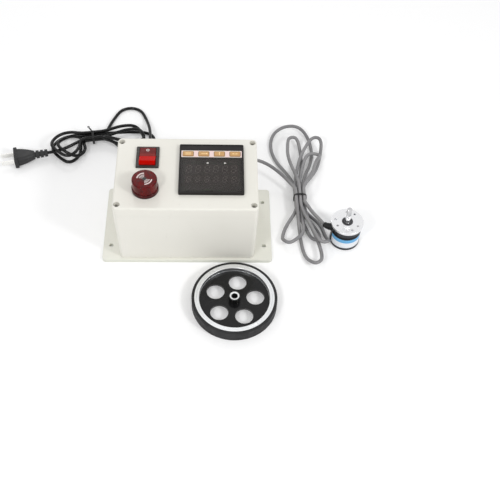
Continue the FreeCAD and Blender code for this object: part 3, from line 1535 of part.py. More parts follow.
fill_sheet()
build_enclosure_base()
build_enclosure_lid()
build_rocker_switch()
build_alarm_lamp()
build_meter_front()
build_meter_inside()
build_cord_bush("mains_bush", "mains_radius", "mains_nose", "mains_exit_x", "mains_exit_z")
build_cord_bush("sensor_bush", "sensor_radius", "sensor_nose", "sensor_exit_x", "sensor_exit_z")
build_encoder_housing()
build_encoder_gland()
build_encoder_inside()
build_wheel()
build_cords()
build_ties()
build_plug()
check_and_write()
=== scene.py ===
"""Looks of a cable length counter: boxed panel meter, alarm lamp, shaft encoder, measuring wheel."""
from math import cos, pi, radians, sin, sqrt, tau

import bmesh
import bpy
from mathutils import Matrix, Vector
from mathutils.bvhtree import BVHTree


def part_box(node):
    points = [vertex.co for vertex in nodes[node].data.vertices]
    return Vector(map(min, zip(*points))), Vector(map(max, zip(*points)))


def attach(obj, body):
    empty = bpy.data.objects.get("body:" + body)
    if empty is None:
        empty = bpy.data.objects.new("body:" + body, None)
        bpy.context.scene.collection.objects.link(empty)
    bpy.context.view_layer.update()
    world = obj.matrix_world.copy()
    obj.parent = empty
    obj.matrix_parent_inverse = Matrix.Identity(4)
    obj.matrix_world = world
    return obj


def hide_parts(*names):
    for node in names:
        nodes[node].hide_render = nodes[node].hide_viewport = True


MM = 0.001

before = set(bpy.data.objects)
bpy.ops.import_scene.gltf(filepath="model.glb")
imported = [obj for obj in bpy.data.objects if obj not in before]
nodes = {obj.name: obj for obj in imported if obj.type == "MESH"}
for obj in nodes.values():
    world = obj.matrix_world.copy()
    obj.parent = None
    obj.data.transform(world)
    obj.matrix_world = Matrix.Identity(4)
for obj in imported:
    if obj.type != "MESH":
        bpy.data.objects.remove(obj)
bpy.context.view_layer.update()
scene = bpy.context.scene

# Places on the part, in mm: middles of the rocker, meter, lamp, encoder and wheel, the key row, the
# wheel's bright band and the height that marks are dropped from
ROCKER = (-44.003, 21.504)
METER = (27.492, 3.696)
BUZZER = (-44.398, -24.0975)
ENCODER = (185.5, -17.9)
WHEEL = (53.75, -110.9, 0)
KEY_ROW = 24.846
KEY_PITCH = 17.5
RIM_INNER, RIM_OUTER = 39.3, 44.5
ABOVE = 130

# The lamp's bright arcs: where each fan starts, its span, and of each arc its radii and level
GRILLE_STARTS = (95, 275)
GRILLE_SPAN = 80
GRILLE_ARCS = ((7.4, 8.6, 0.05), (4.0, 6.3, 0.05), (1.5, 3.7, 0.05))
GRILLE_DEPTH = 0.3
GRILLE_SLITS = 36
ARC_STEPS = 24

# The boot of the encoder's cord: control points of its middle line, its radii, ribs and steps
BOOT_PATH = ((170.2, -14.7, 18), (166.2, -14.1, 18), (162.4, -12.8, 18), (160.4, -10.65, 17.9))
BOOT_RADII = (4.9, 2.9)
BOOT_RIB = 0.45
BOOT_RIB_EVERY = 3
BOOT_SMOOTH_SHARE = 0.25
BOOT_TAPER = 0.7
BOOT_STEPS = 22
BOOT_SIDES = 20

# Tops of the mounting flange and of the wheel's hub, in metres
FLANGE_TOP = 0.0046
HUB_TOP = 0.0165

# Light: name, place, size and power of each lamp, the spot that all face, the world's level, and
# the floor's own glow and reach
LAMPS = (
    ("key_lamp", (-0.5, -0.85, 1.0), 0.2, 4.0),
    ("fill_lamp", (0.85, -0.6, 0.9), 0.24, 5.0),
    ("back_lamp", (-0.2, 0.9, 0.9), 0.2, 1.4),
)
LAMP_TARGET = (0, 0.02, 0.04)
WORLD_LEVEL = 0.69
FLOOR_GLOW = 0.16
FLOOR_REACH = 2.5


# Camera, at the photograph's angle, fitted to the photograph with a scratch program: its place, how
# far it tilts down, turns right and rolls, in degrees, its lens and its sensor's width

CAMERA_PLACE = (0.03273, -0.62949, 0.80164)
CAMERA_TILT = 53.41
CAMERA_TURN = 3.87
CAMERA_ROLL = 3.41
CAMERA_LENS = 61.15
CAMERA_SENSOR = 36


def build_camera():
    data = bpy.data.cameras.new("camera")
    data.lens = CAMERA_LENS
    data.sensor_width = CAMERA_SENSOR
    camera = bpy.data.objects.new("camera", data)
    scene.collection.objects.link(camera)
    tilt, turn, roll = (radians(angle) for angle in (CAMERA_TILT, CAMERA_TURN, CAMERA_ROLL))
    ahead = Vector((sin(turn) * cos(tilt), cos(turn) * cos(tilt), -sin(tilt)))
    level = Vector((cos(turn), -sin(turn), 0))
    upright = level.cross(ahead)
    right = level * cos(roll) + upright * sin(roll)
    up = upright * cos(roll) - level * sin(roll)
    pose = Matrix([list(row) for row in zip(right, up, -ahead)]).to_4x4()
    pose.translation = CAMERA_PLACE
    camera.matrix_world = pose
    scene.camera = camera


# Materials

def tone(red, green, blue):
    """Linear colour of an sRGB tone given from 0 to 255."""
    return tuple(((part / 255 + 0.055) / 1.055) ** 2.4 if part > 10 else part / 255 / 12.92
                 for part in (red, green, blue)) + (1.0,)


class Graph:
    """A material's node tree, built node by node."""

    def __init__(self, name):
        self.material = bpy.data.materials.new(name)
        self.material.use_nodes = True
        self.tree = self.material.node_tree
        self.tree.nodes.clear()
        self.output = self.tree.nodes.new("ShaderNodeOutputMaterial")
        self.place = self.node("ShaderNodeTexCoord").outputs["Object"]

    def node(self, kind, inputs=(), **settings):
        made = self.tree.nodes.new(kind)
        for key, setting in settings.items():
            setattr(made, key, setting)
        for key, content in dict(inputs).items():
            self.feed(made.inputs[key], content)
        return made

    def feed(self, socket, content):
        if isinstance(content, bpy.types.NodeSocket):
            self.tree.links.new(content, socket)
        else:
            socket.default_value = content

    def math(self, operation, first, second=0.0, clamp=False):
        made = self.node("ShaderNodeMath", {0: first, 1: second}, operation=operation)
        made.use_clamp = clamp
        return made.outputs[0]

    def moved(self, centre):
        """Place relative to a centre, in metres."""
        return self.node("ShaderNodeVectorMath", {0: self.place, 1: centre},
                         operation="SUBTRACT").outputs["Vector"]

    def noise(self, scale, detail=2.0, stretch=None, rough=0.5):
        where = self.place
        if stretch:
            where = self.node("ShaderNodeMapping", {"Vector": where, "Scale": stretch}).outputs[0]
        return self.node("ShaderNodeTexNoise", {"Vector": where, "Scale": scale, "Detail": detail,
                                                "Roughness": rough}).outputs["Fac"]

    def span(self, content, low, high, out_low, out_high):
        return self.node("ShaderNodeMapRange", {"Value": content, "From Min": low,
                                                "From Max": high, "To Min": out_low,
                                                "To Max": out_high}).outputs[0]

    def blend(self, share, first, second):
        """Colour between two, by share."""
        made = self.node("ShaderNodeMix", {0: share, 6: first, 7: second}, data_type="RGBA")
        return made.outputs[2]

    def mix(self, share, first, second):
        """Number between two, by share."""
        made = self.node("ShaderNodeMix", {0: share, 2: first, 3: second}, data_type="FLOAT")
        return made.outputs[0]

    def bump(self, height, distance, strength=1.0, under=None):
        inputs = {"Height": height, "Distance": distance, "Strength": strength}
        if under is not None:
            inputs["Normal"] = under
        return self.node("ShaderNodeBump", inputs).outputs["Normal"]

    def surface(self, **inputs):
        made = self.node("ShaderNodeBsdfPrincipled",
                         {key.replace("_", " "): content for key, content in inputs.items()})
        self.tree.links.new(made.outputs[0], self.output.inputs["Surface"])
        return self.material

    def part(self, vector, index):
        """One coordinate of a vector."""
        return self.node("ShaderNodeSeparateXYZ", {0: vector}).outputs[index]

    def radius(self, centre):
        """Distance from an upright axis through a centre, in metres."""
        away = self.moved(centre)
        flat = self.node("ShaderNodeVectorMath", {0: away, 1: (1, 1, 0)}, operation="MULTIPLY")
        return self.node("ShaderNodeVectorMath", {0: flat.outputs[0]},
                         operation="LENGTH").outputs["Value"]

    def between(self, content, low, high, soft=0.00004):
        """1 where a number is between two others, 0 elsewhere."""
        rise = self.span(content, low - soft, low + soft, 0, 1)
        return self.math("MULTIPLY", rise, self.span(content, high - soft, high + soft, 1, 0))

    def rounded(self, reach):
        """Surface direction with its edges softened."""
        return self.node("ShaderNodeBevel", {"Radius": reach}, samples=4).outputs[0]


def moulded(name, first, second, rough=(0.38, 0.5), grain=2600, depth=0.00002, patch=18,
            edge=0.0003, **more):
    """Moulded plastic or rubber: slow tone drift, fine spark-eroded grain, softened edges."""
    graph = Graph(name)
    drift = graph.span(graph.noise(patch, 3), 0.35, 0.65, 0, 1)
    speck = graph.span(graph.noise(grain / 6, 2), 0.3, 0.7, *rough)
    grainy = graph.bump(graph.noise(grain, 2), depth, under=graph.rounded(edge))
    return graph.surface(Base_Color=graph.blend(drift, first, second), Roughness=speck,
                         Normal=grainy, **more)


def metal(name, first, second, rough=(0.2, 0.36), stretch=(1, 1, 1), scale=900, depth=0.000004,
          edge=0.00015, **more):
    """Bare or plated metal with fine marks along one direction."""
    graph = Graph(name)
    marks = graph.noise(scale, 3, stretch)
    drift = graph.span(graph.noise(60, 2), 0.35, 0.65, 0, 1)
    return graph.surface(Base_Color=graph.blend(drift, first, second), Metallic=1.0,
                         Roughness=graph.span(marks, 0.3, 0.7, *rough),
                         Normal=graph.bump(marks, depth, under=graph.rounded(edge)), **more)


def enclosure_plastic():
    """Ivory moulded plastic with handling marks, the flange painted darker and greener as shade."""
    graph = Graph("enclosure_ivory")
    drift = graph.span(graph.noise(9, 4), 0.3, 0.7, 0, 1)
    walls = graph.blend(drift, tone(231, 229, 221), tone(226, 224, 215))
    height = graph.part(graph.place, 2)
    # Painted shade: the flange, below its top, darker and greener than the walls
    low = graph.span(height, FLANGE_TOP - 0.0002, FLANGE_TOP + 0.0002, 1, 0)
    shade = graph.blend(low, walls, tone(222, 223, 212))
    scuffs = graph.noise(140, 6, (1, 1, 0.25), 0.7)
    scuffed = graph.span(scuffs, 0.62, 0.72, 0, 0.35)
    colour = graph.blend(scuffed, shade, tone(214, 211, 202))
    grain = graph.bump(graph.noise(1500, 3), 0.00003, under=graph.rounded(0.0006))
    return graph.surface(Base_Color=colour, Roughness=graph.span(scuffs, 0.3, 0.7, 0.4, 0.56),
                         Normal=grain, Specular_IOR_Level=0.4)


def rocker_plastic():
    """Lit-type red rocker: bright front half and glassy back half, the back half painted darker as
    shade, with a painted glow near the valley for light through the plastic and a painted line of
    shade along the valley.
    """
    graph = Graph("rocker_red")
    ahead = graph.part(graph.moved((0, ROCKER[1] * MM, 0)), 1)
    back = graph.span(ahead, -0.0001, 0.0003, 0, 1)
    front = graph.blend(graph.noise(300, 2), tone(204, 16, 6), tone(180, 9, 4))
    # Painted shade: the back half is the same red, painted darker
    far = graph.blend(graph.noise(220, 3), tone(112, 24, 22), tone(88, 16, 17))
    # Painted light: a glow on the back half near the valley, standing for light through the plastic
    glow = graph.span(ahead, 0.0006, 0.0052, 1, 0)
    rear = graph.blend(glow, far, tone(132, 42, 36))
    # Painted shade: a dark line just in front of the valley
    valley_shade = graph.between(ahead, -0.0011, 0.0003, 0.0003)
    front = graph.blend(valley_shade, front, tone(120, 2, 2))
    soft = graph.bump(graph.noise(500, 2), 0.00002, under=graph.rounded(0.0003))
    return graph.surface(Base_Color=graph.blend(back, front, rear), Normal=soft,
                         Roughness=graph.span(graph.noise(260, 2), 0.3, 0.7, 0.16, 0.28),
                         Specular_IOR_Level=0.06, Subsurface_Weight=0.15,
                         Subsurface_Scale=0.002)


def lamp_plastic(name, first, second, clear):
    """Deep red see-through plastic of the lamp, with moulding flow marks."""
    graph = Graph(name)
    flow = graph.noise(240, 4, (1, 1, 0.3))
    colour = graph.blend(graph.span(flow, 0.35, 0.65, 0, 1), first, second)
    return graph.surface(Base_Color=colour, Roughness=graph.span(flow, 0.3, 0.7, 0.1, 0.2),
                         Transmission_Weight=clear, IOR=1.28,
                         Normal=graph.bump(flow, 0.00003, under=graph.rounded(0.0004)))


def painted_disc():
    """Black lacquer on the wheel's disc, with the band at its rim turned bare and bright."""
    graph = Graph("wheel_black")
    out = graph.radius(tuple(part * MM for part in WHEEL))
    high = graph.span(graph.part(graph.place, 2), HUB_TOP - 0.0004, HUB_TOP - 0.0003, 0, 1)
    hub = graph.math("MULTIPLY", high, graph.between(out, 0.0028, 0.0054))
    bare = graph.math("MAXIMUM", graph.between(out, RIM_INNER * MM, RIM_OUTER * MM), hub)
    rings = graph.node("ShaderNodeTexWave", {"Vector": graph.moved(tuple(p * MM for p in WHEEL)),
                                             "Scale": 900, "Distortion": 0.4, "Detail": 1},
                       wave_type="RINGS", rings_direction="Z").outputs["Fac"]
    wear = graph.noise(160, 5, None, 0.7)
    paint = graph.blend(graph.span(wear, 0.35, 0.65, 0, 1), tone(14, 14, 15), tone(20, 20, 21))
    shine = graph.blend(rings, tone(242, 243, 244), tone(224, 226, 228))
    gloss = graph.mix(bare, graph.span(wear, 0.3, 0.7, 0.12, 0.24),
                      graph.span(wear, 0.3, 0.7, 0.3, 0.42))
    ridges = graph.bump(rings, 0.000002, under=graph.rounded(0.0002))
    peel = graph.bump(graph.noise(420, 2), 0.00002, under=ridges)
    return graph.surface(Base_Color=graph.blend(bare, paint, shine), Metallic=bare,
                         Roughness=gloss, Normal=peel, Specular_IOR_Level=0.3)


def turned_metal(name, centre, first, second, rough):
    """Aluminium with fine turning rings round an upright axis."""
    graph = Graph(name)
    rings = graph.node("ShaderNodeTexWave", {"Vector": graph.moved(centre), "Scale": 1500,
                                             "Distortion": 0.6, "Detail": 2},
                       wave_type="RINGS", rings_direction="Z").outputs["Fac"]
    smudge = graph.noise(120, 4)
    return graph.surface(Base_Color=graph.blend(rings, first, second), Metallic=1.0,
                         Roughness=graph.span(smudge, 0.3, 0.7, *rough),
                         Normal=graph.bump(rings, 0.000003, under=graph.rounded(0.0002)))


def label_film():
    """Printed label round the encoder: dark band, pale blue stripe, white field."""
    graph = Graph("encoder_label")
    height = graph.part(graph.place, 2)
    fleck = graph.noise(900, 3)
    white = graph.blend(fleck, tone(238, 240, 243), tone(226, 229, 234))
    blue = graph.blend(fleck, tone(118, 182, 226), tone(100, 168, 218))
    dark = graph.blend(fleck, tone(10, 12, 16), tone(16, 18, 23))
    striped = graph.blend(graph.between(height, 0.0128, 0.0185), white, blue)
    colour = graph.blend(graph.span(height, 0.0184, 0.0186, 0, 1), striped, dark)
    return graph.surface(Base_Color=colour, Roughness=graph.span(fleck, 0.3, 0.7, 0.28, 0.4),
                         Normal=graph.bump(fleck, 0.000005), Specular_IOR_Level=0.12)


def key_strip_film():
    """White strip round the four keys, with pale pink fields between them."""
    graph = Graph("strip_film")
    across = graph.math("DIVIDE", graph.part(graph.moved((METER[0] * MM, 0, 0)), 0),
                        KEY_PITCH * MM)
    place = graph.math("FRACT", across)
    near = graph.math("MINIMUM", place, graph.math("SUBTRACT", 1.0, place))
    pink = graph.span(near, 0.1, 0.16, 1, 0)
    fleck = graph.noise(700, 2)
    white = graph.blend(fleck, tone(238, 232, 222), tone(232, 225, 213))
    colour = graph.blend(pink, white, tone(232, 206, 202))
    return graph.surface(Base_Color=colour, Roughness=graph.span(fleck, 0.3, 0.7, 0.34, 0.46),
                         Normal=graph.bump(fleck, 0.000005))


def key_film():
    """Orange key film, darker and browner towards the edges of each key."""
    graph = Graph("key_orange")
    across = graph.math("DIVIDE", graph.part(graph.moved((METER[0] * MM, 0, 0)), 0),
                        KEY_PITCH * MM)
    off = graph.math("ABSOLUTE", graph.math("SUBTRACT", graph.math("FRACT", across), 0.5))
    side = graph.span(off, 0.29, 0.33, 0, 1)
    row = graph.part(graph.moved((0, KEY_ROW * MM, 0)), 1)
    end = graph.span(graph.math("ABSOLUTE", row), 0.0026, 0.0032, 0, 1)
    rim = graph.math("MAXIMUM", side, end)
    fleck = graph.noise(600, 2)
    middle = graph.blend(fleck, tone(200, 156, 98), tone(188, 144, 88))
    return graph.surface(Base_Color=graph.blend(rim, middle, tone(160, 112, 56)),
                         Roughness=graph.span(fleck, 0.3, 0.7, 0.32, 0.44),
                         Normal=graph.bump(fleck, 0.00001, under=graph.rounded(0.0003)))


def smoked_film():
    """Dark see-through window of the meter."""
    graph = Graph("smoked_window")
    haze = graph.noise(90, 3)
    colour = graph.blend(haze, tone(138, 131, 127), tone(146, 140, 136))
    return graph.surface(Base_Color=colour, Roughness=graph.span(haze, 0.3, 0.7, 0.16, 0.26),
                         Transmission_Weight=0.9, IOR=1.25,
                         Normal=graph.bump(graph.noise(700, 2), 0.000004))


def cord_jacket(name, first, second, rough, shine, depth):
    """Extruded cable jacket: faint streaks, dull patches and fine grain."""
    graph = Graph(name)
    streak = graph.noise(420, 4, None, 0.6)
    drift = graph.span(graph.noise(36, 3), 0.3, 0.7, 0, 1)
    return graph.surface(Base_Color=graph.blend(drift, first, second),
                         Roughness=graph.span(streak, 0.3, 0.7, *rough),
                         Normal=graph.bump(streak, depth), Specular_IOR_Level=shine)


def circuit_board():
    """Green solder mask with copper tracks showing through."""
    graph = Graph("board_green")
    tracks = graph.node("ShaderNodeTexBrick", {"Vector": graph.place, "Scale": 260,
                                               "Mortar Size": 0.03, "Color1": tone(22, 92, 52),
                                               "Color2": tone(18, 80, 46),
                                               "Mortar": tone(60, 132, 74)}).outputs["Color"]
    return graph.surface(Base_Color=tracks, Roughness=graph.span(graph.noise(800), 0.3, 0.7,
                                                                 0.3, 0.45))


def finishes():
    """Every material, with the CAD nodes that take it."""
    encoder_axis = (ENCODER[0] * MM, ENCODER[1] * MM, 0)
    black = moulded("black_plastic", tone(34, 33, 32), tone(26, 26, 26), rough=(0.3, 0.44),
                    Specular_IOR_Level=0.3)
    return [
        (enclosure_plastic(), ["enclosure_base", "enclosure_lid"]),
        (moulded("seal_grey", tone(70, 70, 68), tone(58, 58, 56), rough=(0.6, 0.75)),
         ["lid_seal"]),
        (metal("zinc_steel", tone(150, 150, 148), tone(120, 120, 118)),
         ["meter_terminal_screws", "meter_clamps"]),
        # Painted shade: the lid screws' steel painted dark for the shade deep in their recesses
        (metal("steel_painted_shade", tone(104, 100, 92), tone(78, 75, 70), rough=(0.34, 0.5)),
         ["lid_screws"]),
        (moulded("frame_black", tone(52, 48, 44), tone(42, 39, 37), rough=(0.34, 0.48),
                 Specular_IOR_Level=0.3),
         ["rocker_frame"]),
        (rocker_plastic(), ["rocker_button"]),
        (metal("tinned_brass", tone(212, 180, 110), tone(190, 158, 92)),
         ["switch_terminals", "buzzer_terminals", "encoder_disc_hub"]),
        (lamp_plastic("lamp_red", tone(128, 8, 12), tone(88, 4, 8), 0.4), ["buzzer_cap"]),
        (lamp_plastic("lamp_base_red", tone(84, 18, 20), tone(60, 12, 14), 0.1),
         ["buzzer_base"]),
        (metal("sounder_silver", tone(232, 230, 228), tone(206, 204, 204), rough=(0.25, 0.4)),
         ["buzzer_sounder"]),
        (moulded("bush_black", tone(34, 34, 35), tone(25, 25, 26), rough=(0.42, 0.56), grain=1400,
                 Specular_IOR_Level=0.3),
         ["buzzer_gasket", "mains_bush", "sensor_bush", "encoder_gland"]),
        (black, ["buzzer_nut", "meter_case", "meter_key_switches", "meter_terminal_block",
                 "encoder_pickup"]),
        (moulded("bezel_black", tone(34, 31, 30), tone(27, 25, 24), rough=(0.42, 0.56),
                 grain=1800, Specular_IOR_Level=0.22), ["meter_bezel"]),
        (smoked_film(), ["meter_window"]),
        (key_strip_film(), ["key_strip"]),
        (key_film(), [f"meter_key_{number}" for number in range(1, 5)]),
        (moulded("digit_grey", tone(98, 94, 94), tone(88, 84, 84), rough=(0.4, 0.5)),
         ["meter_upper_digits", "meter_lower_digits"]),
        (circuit_board(), ["meter_display_board", "meter_power_board", "encoder_circuit_board"]),
        (metal("core_steel", tone(96, 90, 84), tone(76, 70, 66), rough=(0.4, 0.6),
               stretch=(1, 1, 30)), ["meter_transformer"]),
        (turned_metal("encoder_face", encoder_axis, tone(240, 240, 241), tone(222, 223, 225),
                      (0.24, 0.34)), ["encoder_flange"]),
        (turned_metal("encoder_shell", encoder_axis, tone(70, 71, 74), tone(52, 53, 56),
                      (0.3, 0.42)), ["encoder_body"]),
        (label_film(), ["encoder_label"]),
        (metal("screw_steel", tone(186, 186, 188), tone(158, 158, 160)), ["encoder_screws"]),
        (metal("bearing_steel", tone(92, 92, 94), tone(70, 70, 72), rough=(0.24, 0.36)),
         ["encoder_bearings"]),
        (metal("shaft_steel", tone(226, 226, 226), tone(196, 196, 198), rough=(0.14, 0.28),
               stretch=(20, 20, 1)), ["encoder_shaft"]),
        (metal("disc_steel", tone(180, 180, 186), tone(150, 150, 158)), ["encoder_code_disc"]),
        (painted_disc(), ["wheel_disc"]),
        (moulded("tyre_rubber", tone(44, 44, 45), tone(34, 34, 35), rough=(0.55, 0.75), grain=900,
                 depth=0.00006, Specular_IOR_Level=0.3), ["wheel_tyre"]),
        (metal("set_screw_steel", tone(110, 108, 104), tone(84, 82, 80)), ["wheel_set_screws"]),
        (moulded("tie_black", tone(28, 28, 28), tone(20, 20, 20), rough=(0.3, 0.44),
                 Specular_IOR_Level=0.35), ["mains_tie", "sensor_tie"]),
        (moulded("plug_rubber", tone(40, 40, 41), tone(30, 30, 31), rough=(0.4, 0.56),
                 grain=1100, depth=0.00004, Specular_IOR_Level=0.35), ["plug_body"]),
        (metal("prong_nickel", tone(250, 249, 246), tone(238, 237, 233), rough=(0.2, 0.3)),
         ["plug_blades"]),
    ]


# Cords, on the routes of the source, in mm. As the source says, a search adjusted the mains
# cord's points, the order of the passes and the loops

ROUTES = {
    "mains_cord_lead": [
        (-50, 46, 25.1), (-50, 60, 24.8), (-50.1, 76, 24.3), (-50.4, 92, 21.5), (-50.8, 108, 17.8),
        (-51.2, 124, 14), (-51.8, 139, 10.8), (-53.5, 153.5, 7.6), (-56.5, 166, 4.5),
        (-60.4, 178, 2.6), (-65.5, 189.1, 2.1), (-71.9, 194.3, 2.1), (-80, 196.3, 2.1),
        (-88.1, 194.6, 2.1), (-94.7, 189.6, 2.1), (-99.7, 179.7, 2.1), (-104.5, 168, 2.2),
        (-109, 152.5, 3),
    ],
    "mains_cord_tail": [(-143, 127.5, 8.6), (-153.2, 119.2, 8.8), (-165.9, 111, 9.1),
                        (-179, 108.2, 8.8)],
    "sensor_cord_lead": [
        (60, 46.2, 32), (60, 56, 32), (61, 66, 32), (68, 76, 31.5), (82, 80.5, 30.2),
        (98, 75, 26.5), (113.5, 65, 20.3), (125.5, 52, 16),
    ],
    "sensor_cord_tail": [(142, 22.2, 15), (148.6, 8.5, 15.6), (155.6, -2.6, 17.4),
                         (160.6, -12.2, 18), (168.9, -14.4, 18)],
}

# Column and layer of each pass through a tie
PASSES = {
    "mains": [(-1, 0), (0, 0), (-1, 1), (1, 1), (-1, 2), (1, 2), (0, 1)],
    "sensor": [(-1, 2), (1, 1), (-1, 0), (0, 0), (0, 2), (1, 0), (-1, 1), (0, 1), (1, 2)],
}

# Of each loop: tip, half widths, shoulders, back turn, side, levels, and how near its tip its
# control points come, which the photograph's narrower loop ends need
LOOPS = {
    "mains": [
        ((-171.5, 113.5), (20.5, 21), (22, 19), -24, -1, (2.1, 3.1, 2.1), 1.0),
        ((-47.5, 137), (18, 15.5), (22.5, 18), 2, -1, (2.1, 4.1, 2.1), 0.85),
        ((-164, 113), (16, 17.5), (17.5, 22), -20, -1, (8.5, 14.5, 7.1), 0.8),
        ((-60, 136), (12.5, 16), (19, 18.5), -2, -1, (7.5, 2.1, 14.5), 0.8),
        ((-172, 112.5), (16.5, 21), (19.5, 19.5), -24, -1, (14.5, 14.5, 14.5), 0.85),
        ((-60, 136), (11, 10), (17, 11), -6, -1, (14.5, 10, 14.5), 0.8),
    ],
    "sensor": [
        ((149.5, -60), (11, 8.5), (22, 9.5), 0, -1, (2.2, 9, 8), 0.5),
        ((129.5, 160.5), (23.5, 28), (34, 24.5), 2, -1, (2.7, 7.7, 2.2), 0.95),
        ((153, -22), (7, 5), (11.5, 9.5), -8, -1, (2.2, 3.2, 2.2), 0.75),
        ((131.5, 139), (8, 9.5), (28, 25), 4, -1, (3.7, 9.2, 16), 0.55),
        ((160.5, -33), (7, 8.5), (14, 21), 8, -1, (16, 13, 2.2), 0.75),
        ((161, 133), (10, 11.5), (28.5, 18.5), 8, -1, (2.2, 15.5, 10), 0.65),
        ((116, -31), (7.5, 9), (12.5, 6), 32, -1, (4.2, 10, 10), 0.8),
        ((158, 111), (9.5, 5.5), (14, 28.5), 4, 1, (10.5, 8.5, 15), 0.8),
    ],
}

# Of each tie: its middle, heading, pitch of the passes and height of the lowest
WAISTS = {"mains": ((-124.5, 136, 0), 9, 4.6, 4.0), "sensor": ((135, 37, 0), 91, 4.9, 4.2)}
WAIST_HOLD = 6
TIE_RADIUS = 0.65
TWIST_WAY = (-0.62, 0.42, 0.66)
TWIST_LENGTH = 10
TWIST_POINTS = 9
NEAR = 1e-4
CORDS = {
    "mains": {"radius": 2.0, "length": 1195, "far_end": "plug", "stiffness": "medium",
              "pieces": ["plug_body", "plug_blades"]},
    "sensor": {"radius": 2.1, "length": 1729, "far_end": "object", "stiffness": "medium",
               "pieces": []},
}


def heading(angle):
    return Vector((cos(radians(angle)), sin(radians(angle)), 0))


def turned(vector, angle):
    return Matrix.Rotation(angle, 3, "Z") @ vector


def hank_stations(cord):
    """Places and headings along a hank, from the end of its lead to the start of its tail."""
    lead = [Vector(point) for point in ROUTES[f"{cord}_cord_lead"]]
    tail = [Vector(point) for point in ROUTES[f"{cord}_cord_tail"]]
    middle, angle, pitch, lowest = WAISTS[cord]
    waist, axis, across = Vector(middle), heading(angle), heading(angle - 90)
    diameter = 2 * CORDS[cord]["radius"]
    entering, leaving = (lead[-1] - lead[-2]).normalized(), (tail[1] - tail[0]).normalized()
    stations = [(lead[-1], entering, 1), (lead[-1] + entering * diameter, entering, 1)]
    sense = -1
    for number, (column, layer) in enumerate(PASSES[cord]):
        place = waist + across * column * pitch + Vector((0, 0, lowest + layer * pitch))
        along = axis * sense
        stations.append((place - along * WAIST_HOLD, along, 1))
        stations.append((place + along * WAIST_HOLD, along, 1))
        if number < len(LOOPS[cord]):
            stations += loop_stations(waist, *LOOPS[cord][number])
        sense = -sense
    return stations + [(tail[0] - leaving * diameter, leaving, 1), (tail[0], leaving, 1)]


def loop_stations(waist, tip, half_widths, shoulders, back_turn, side, levels, pinch):
    """The way out, the tip and the way back of one loop."""
    end = Vector((*tip, 0))
    outward = (end - waist).normalized()
    sideways = Vector((-outward.y, outward.x, 0)) * side
    turn = radians(back_turn) * side
    heights = [Vector((0, 0, level)) for level in levels]
    out_place = end - outward * shoulders[0] + sideways * half_widths[0]
    back_place = end - outward * shoulders[1] - sideways * half_widths[1]
    return [
        (out_place + heights[0], outward, 1),
        (end + heights[1], turned(-sideways, turn / 2), pinch),
        (back_place + heights[2], turned(-outward, turn), 1),
    ]


def hank_controls(stations):
    """Control points of a hank: where the tangents of each two stations meet halfway."""
    points = []
    for (start, setting_out, near), (end, arriving, far) in zip(stations, stations[1:]):
        across = end - start
        curl = 2 * (1 - setting_out.dot(arriving))
        if curl < NEAR:
            reach = across.dot(across) / (4 * across.dot(setting_out))
        else:
            ahead = across.dot(setting_out + arriving)
            reach = (sqrt(ahead ** 2 + curl * across.dot(across)) - ahead) / curl
        points += [start + setting_out * reach * near, end - arriving * reach * far]
    return points


def build_cord(cord, jacket, ties):
    facts = CORDS[cord]
    lead, tail = ROUTES[f"{cord}_cord_lead"], ROUTES[f"{cord}_cord_tail"]
    points = [*lead, *hank_controls(hank_stations(cord)), *tail]
    data = bpy.data.curves.new(f"{cord}_cord", "CURVE")
    data.dimensions = "3D"
    data.resolution_u = 8
    data.bevel_depth = facts["radius"] * MM
    data.bevel_resolution = 5
    data.use_fill_caps = True
    spline = data.splines.new("NURBS")
    spline.points.add(len(points) - 1)
    for control, point in zip(spline.points, points):
        control.co = (*(Vector(point) * MM), 1)
    spline.order_u = 3
    spline.use_endpoint_u = True
    piece = bpy.data.objects.new(f"{cord}_cord", data)
    scene.collection.objects.link(piece)
    data.materials.append(jacket)
    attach(piece, "housing")
    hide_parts(*(f"{cord}_cord_{stretch}" for stretch in ("lead", "hank", "tail")))


def new_curve(name, material, body, runs, radius, cyclic=False):
    """A bent round wire: each run is its control points in mm."""
    data = bpy.data.curves.new(name, "CURVE")
    data.dimensions = "3D"
    data.resolution_u = 6
    data.bevel_depth = radius * MM
    data.bevel_resolution = 3
    data.use_fill_caps = not cyclic
    for points in runs:
        spline = data.splines.new("NURBS")
        spline.points.add(len(points) - 1)
        for control, point in zip(spline.points, points):
            control.co = (*(Vector(point) * MM), 1)
        spline.order_u = 3
        spline.use_endpoint_u = not cyclic
        spline.use_cyclic_u = cyclic
    piece = bpy.data.objects.new(name, data)
    scene.collection.objects.link(piece)
    data.materials.append(material)
    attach(piece, body)
    return piece


def build_tie(cord, material):
    """Two wraps of a coated wire round a hank's waist, and on the mains cord its twisted ends."""
    middle, angle, pitch, lowest = WAISTS[cord]
    axis, across, up = heading(angle), heading(angle - 90), Vector((0, 0, 1))
    centre = Vector(middle) + up * (lowest + pitch)
    reach = pitch + CORDS[cord]["radius"] + TIE_RADIUS
    corner = reach * 0.62
    outline = [(reach, corner), (corner, reach), (-corner, reach), (-reach, corner),
               (-reach, -corner), (-corner, -reach), (corner, -reach), (reach, -corner)]
    wraps = [[centre + axis * shift + across * side + up * high for side, high in outline]
             for shift in (-TIE_RADIUS, TIE_RADIUS)]
    tie = new_curve(f"{cord}_tie_wire", material, "housing", wraps, TIE_RADIUS,
                    cyclic=True)
    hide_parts(f"{cord}_tie")
    if cord != "mains":
        return [tie]
    root = centre + up * reach - across * corner * 0.6
    along = Vector(TWIST_WAY).normalized()
    aside = along.cross(up).normalized()
    above = aside.cross(along)
    strands = []
    for phase in (0, pi):
        points = [root]
        for number in range(1, TWIST_POINTS):
            turn = phase + number * pi / 3
            spread = TIE_RADIUS * (1.0 if number < TWIST_POINTS - 2 else 1.9)
            points.append(root + along * (number * TWIST_LENGTH / TWIST_POINTS)
                          + (aside * cos(turn) + above * sin(turn)) * spread)
        strands.append(points)
    ends = new_curve("mains_tie_ends", material, "housing", strands,
                     TIE_RADIUS * 0.8)
    return [tie, ends]


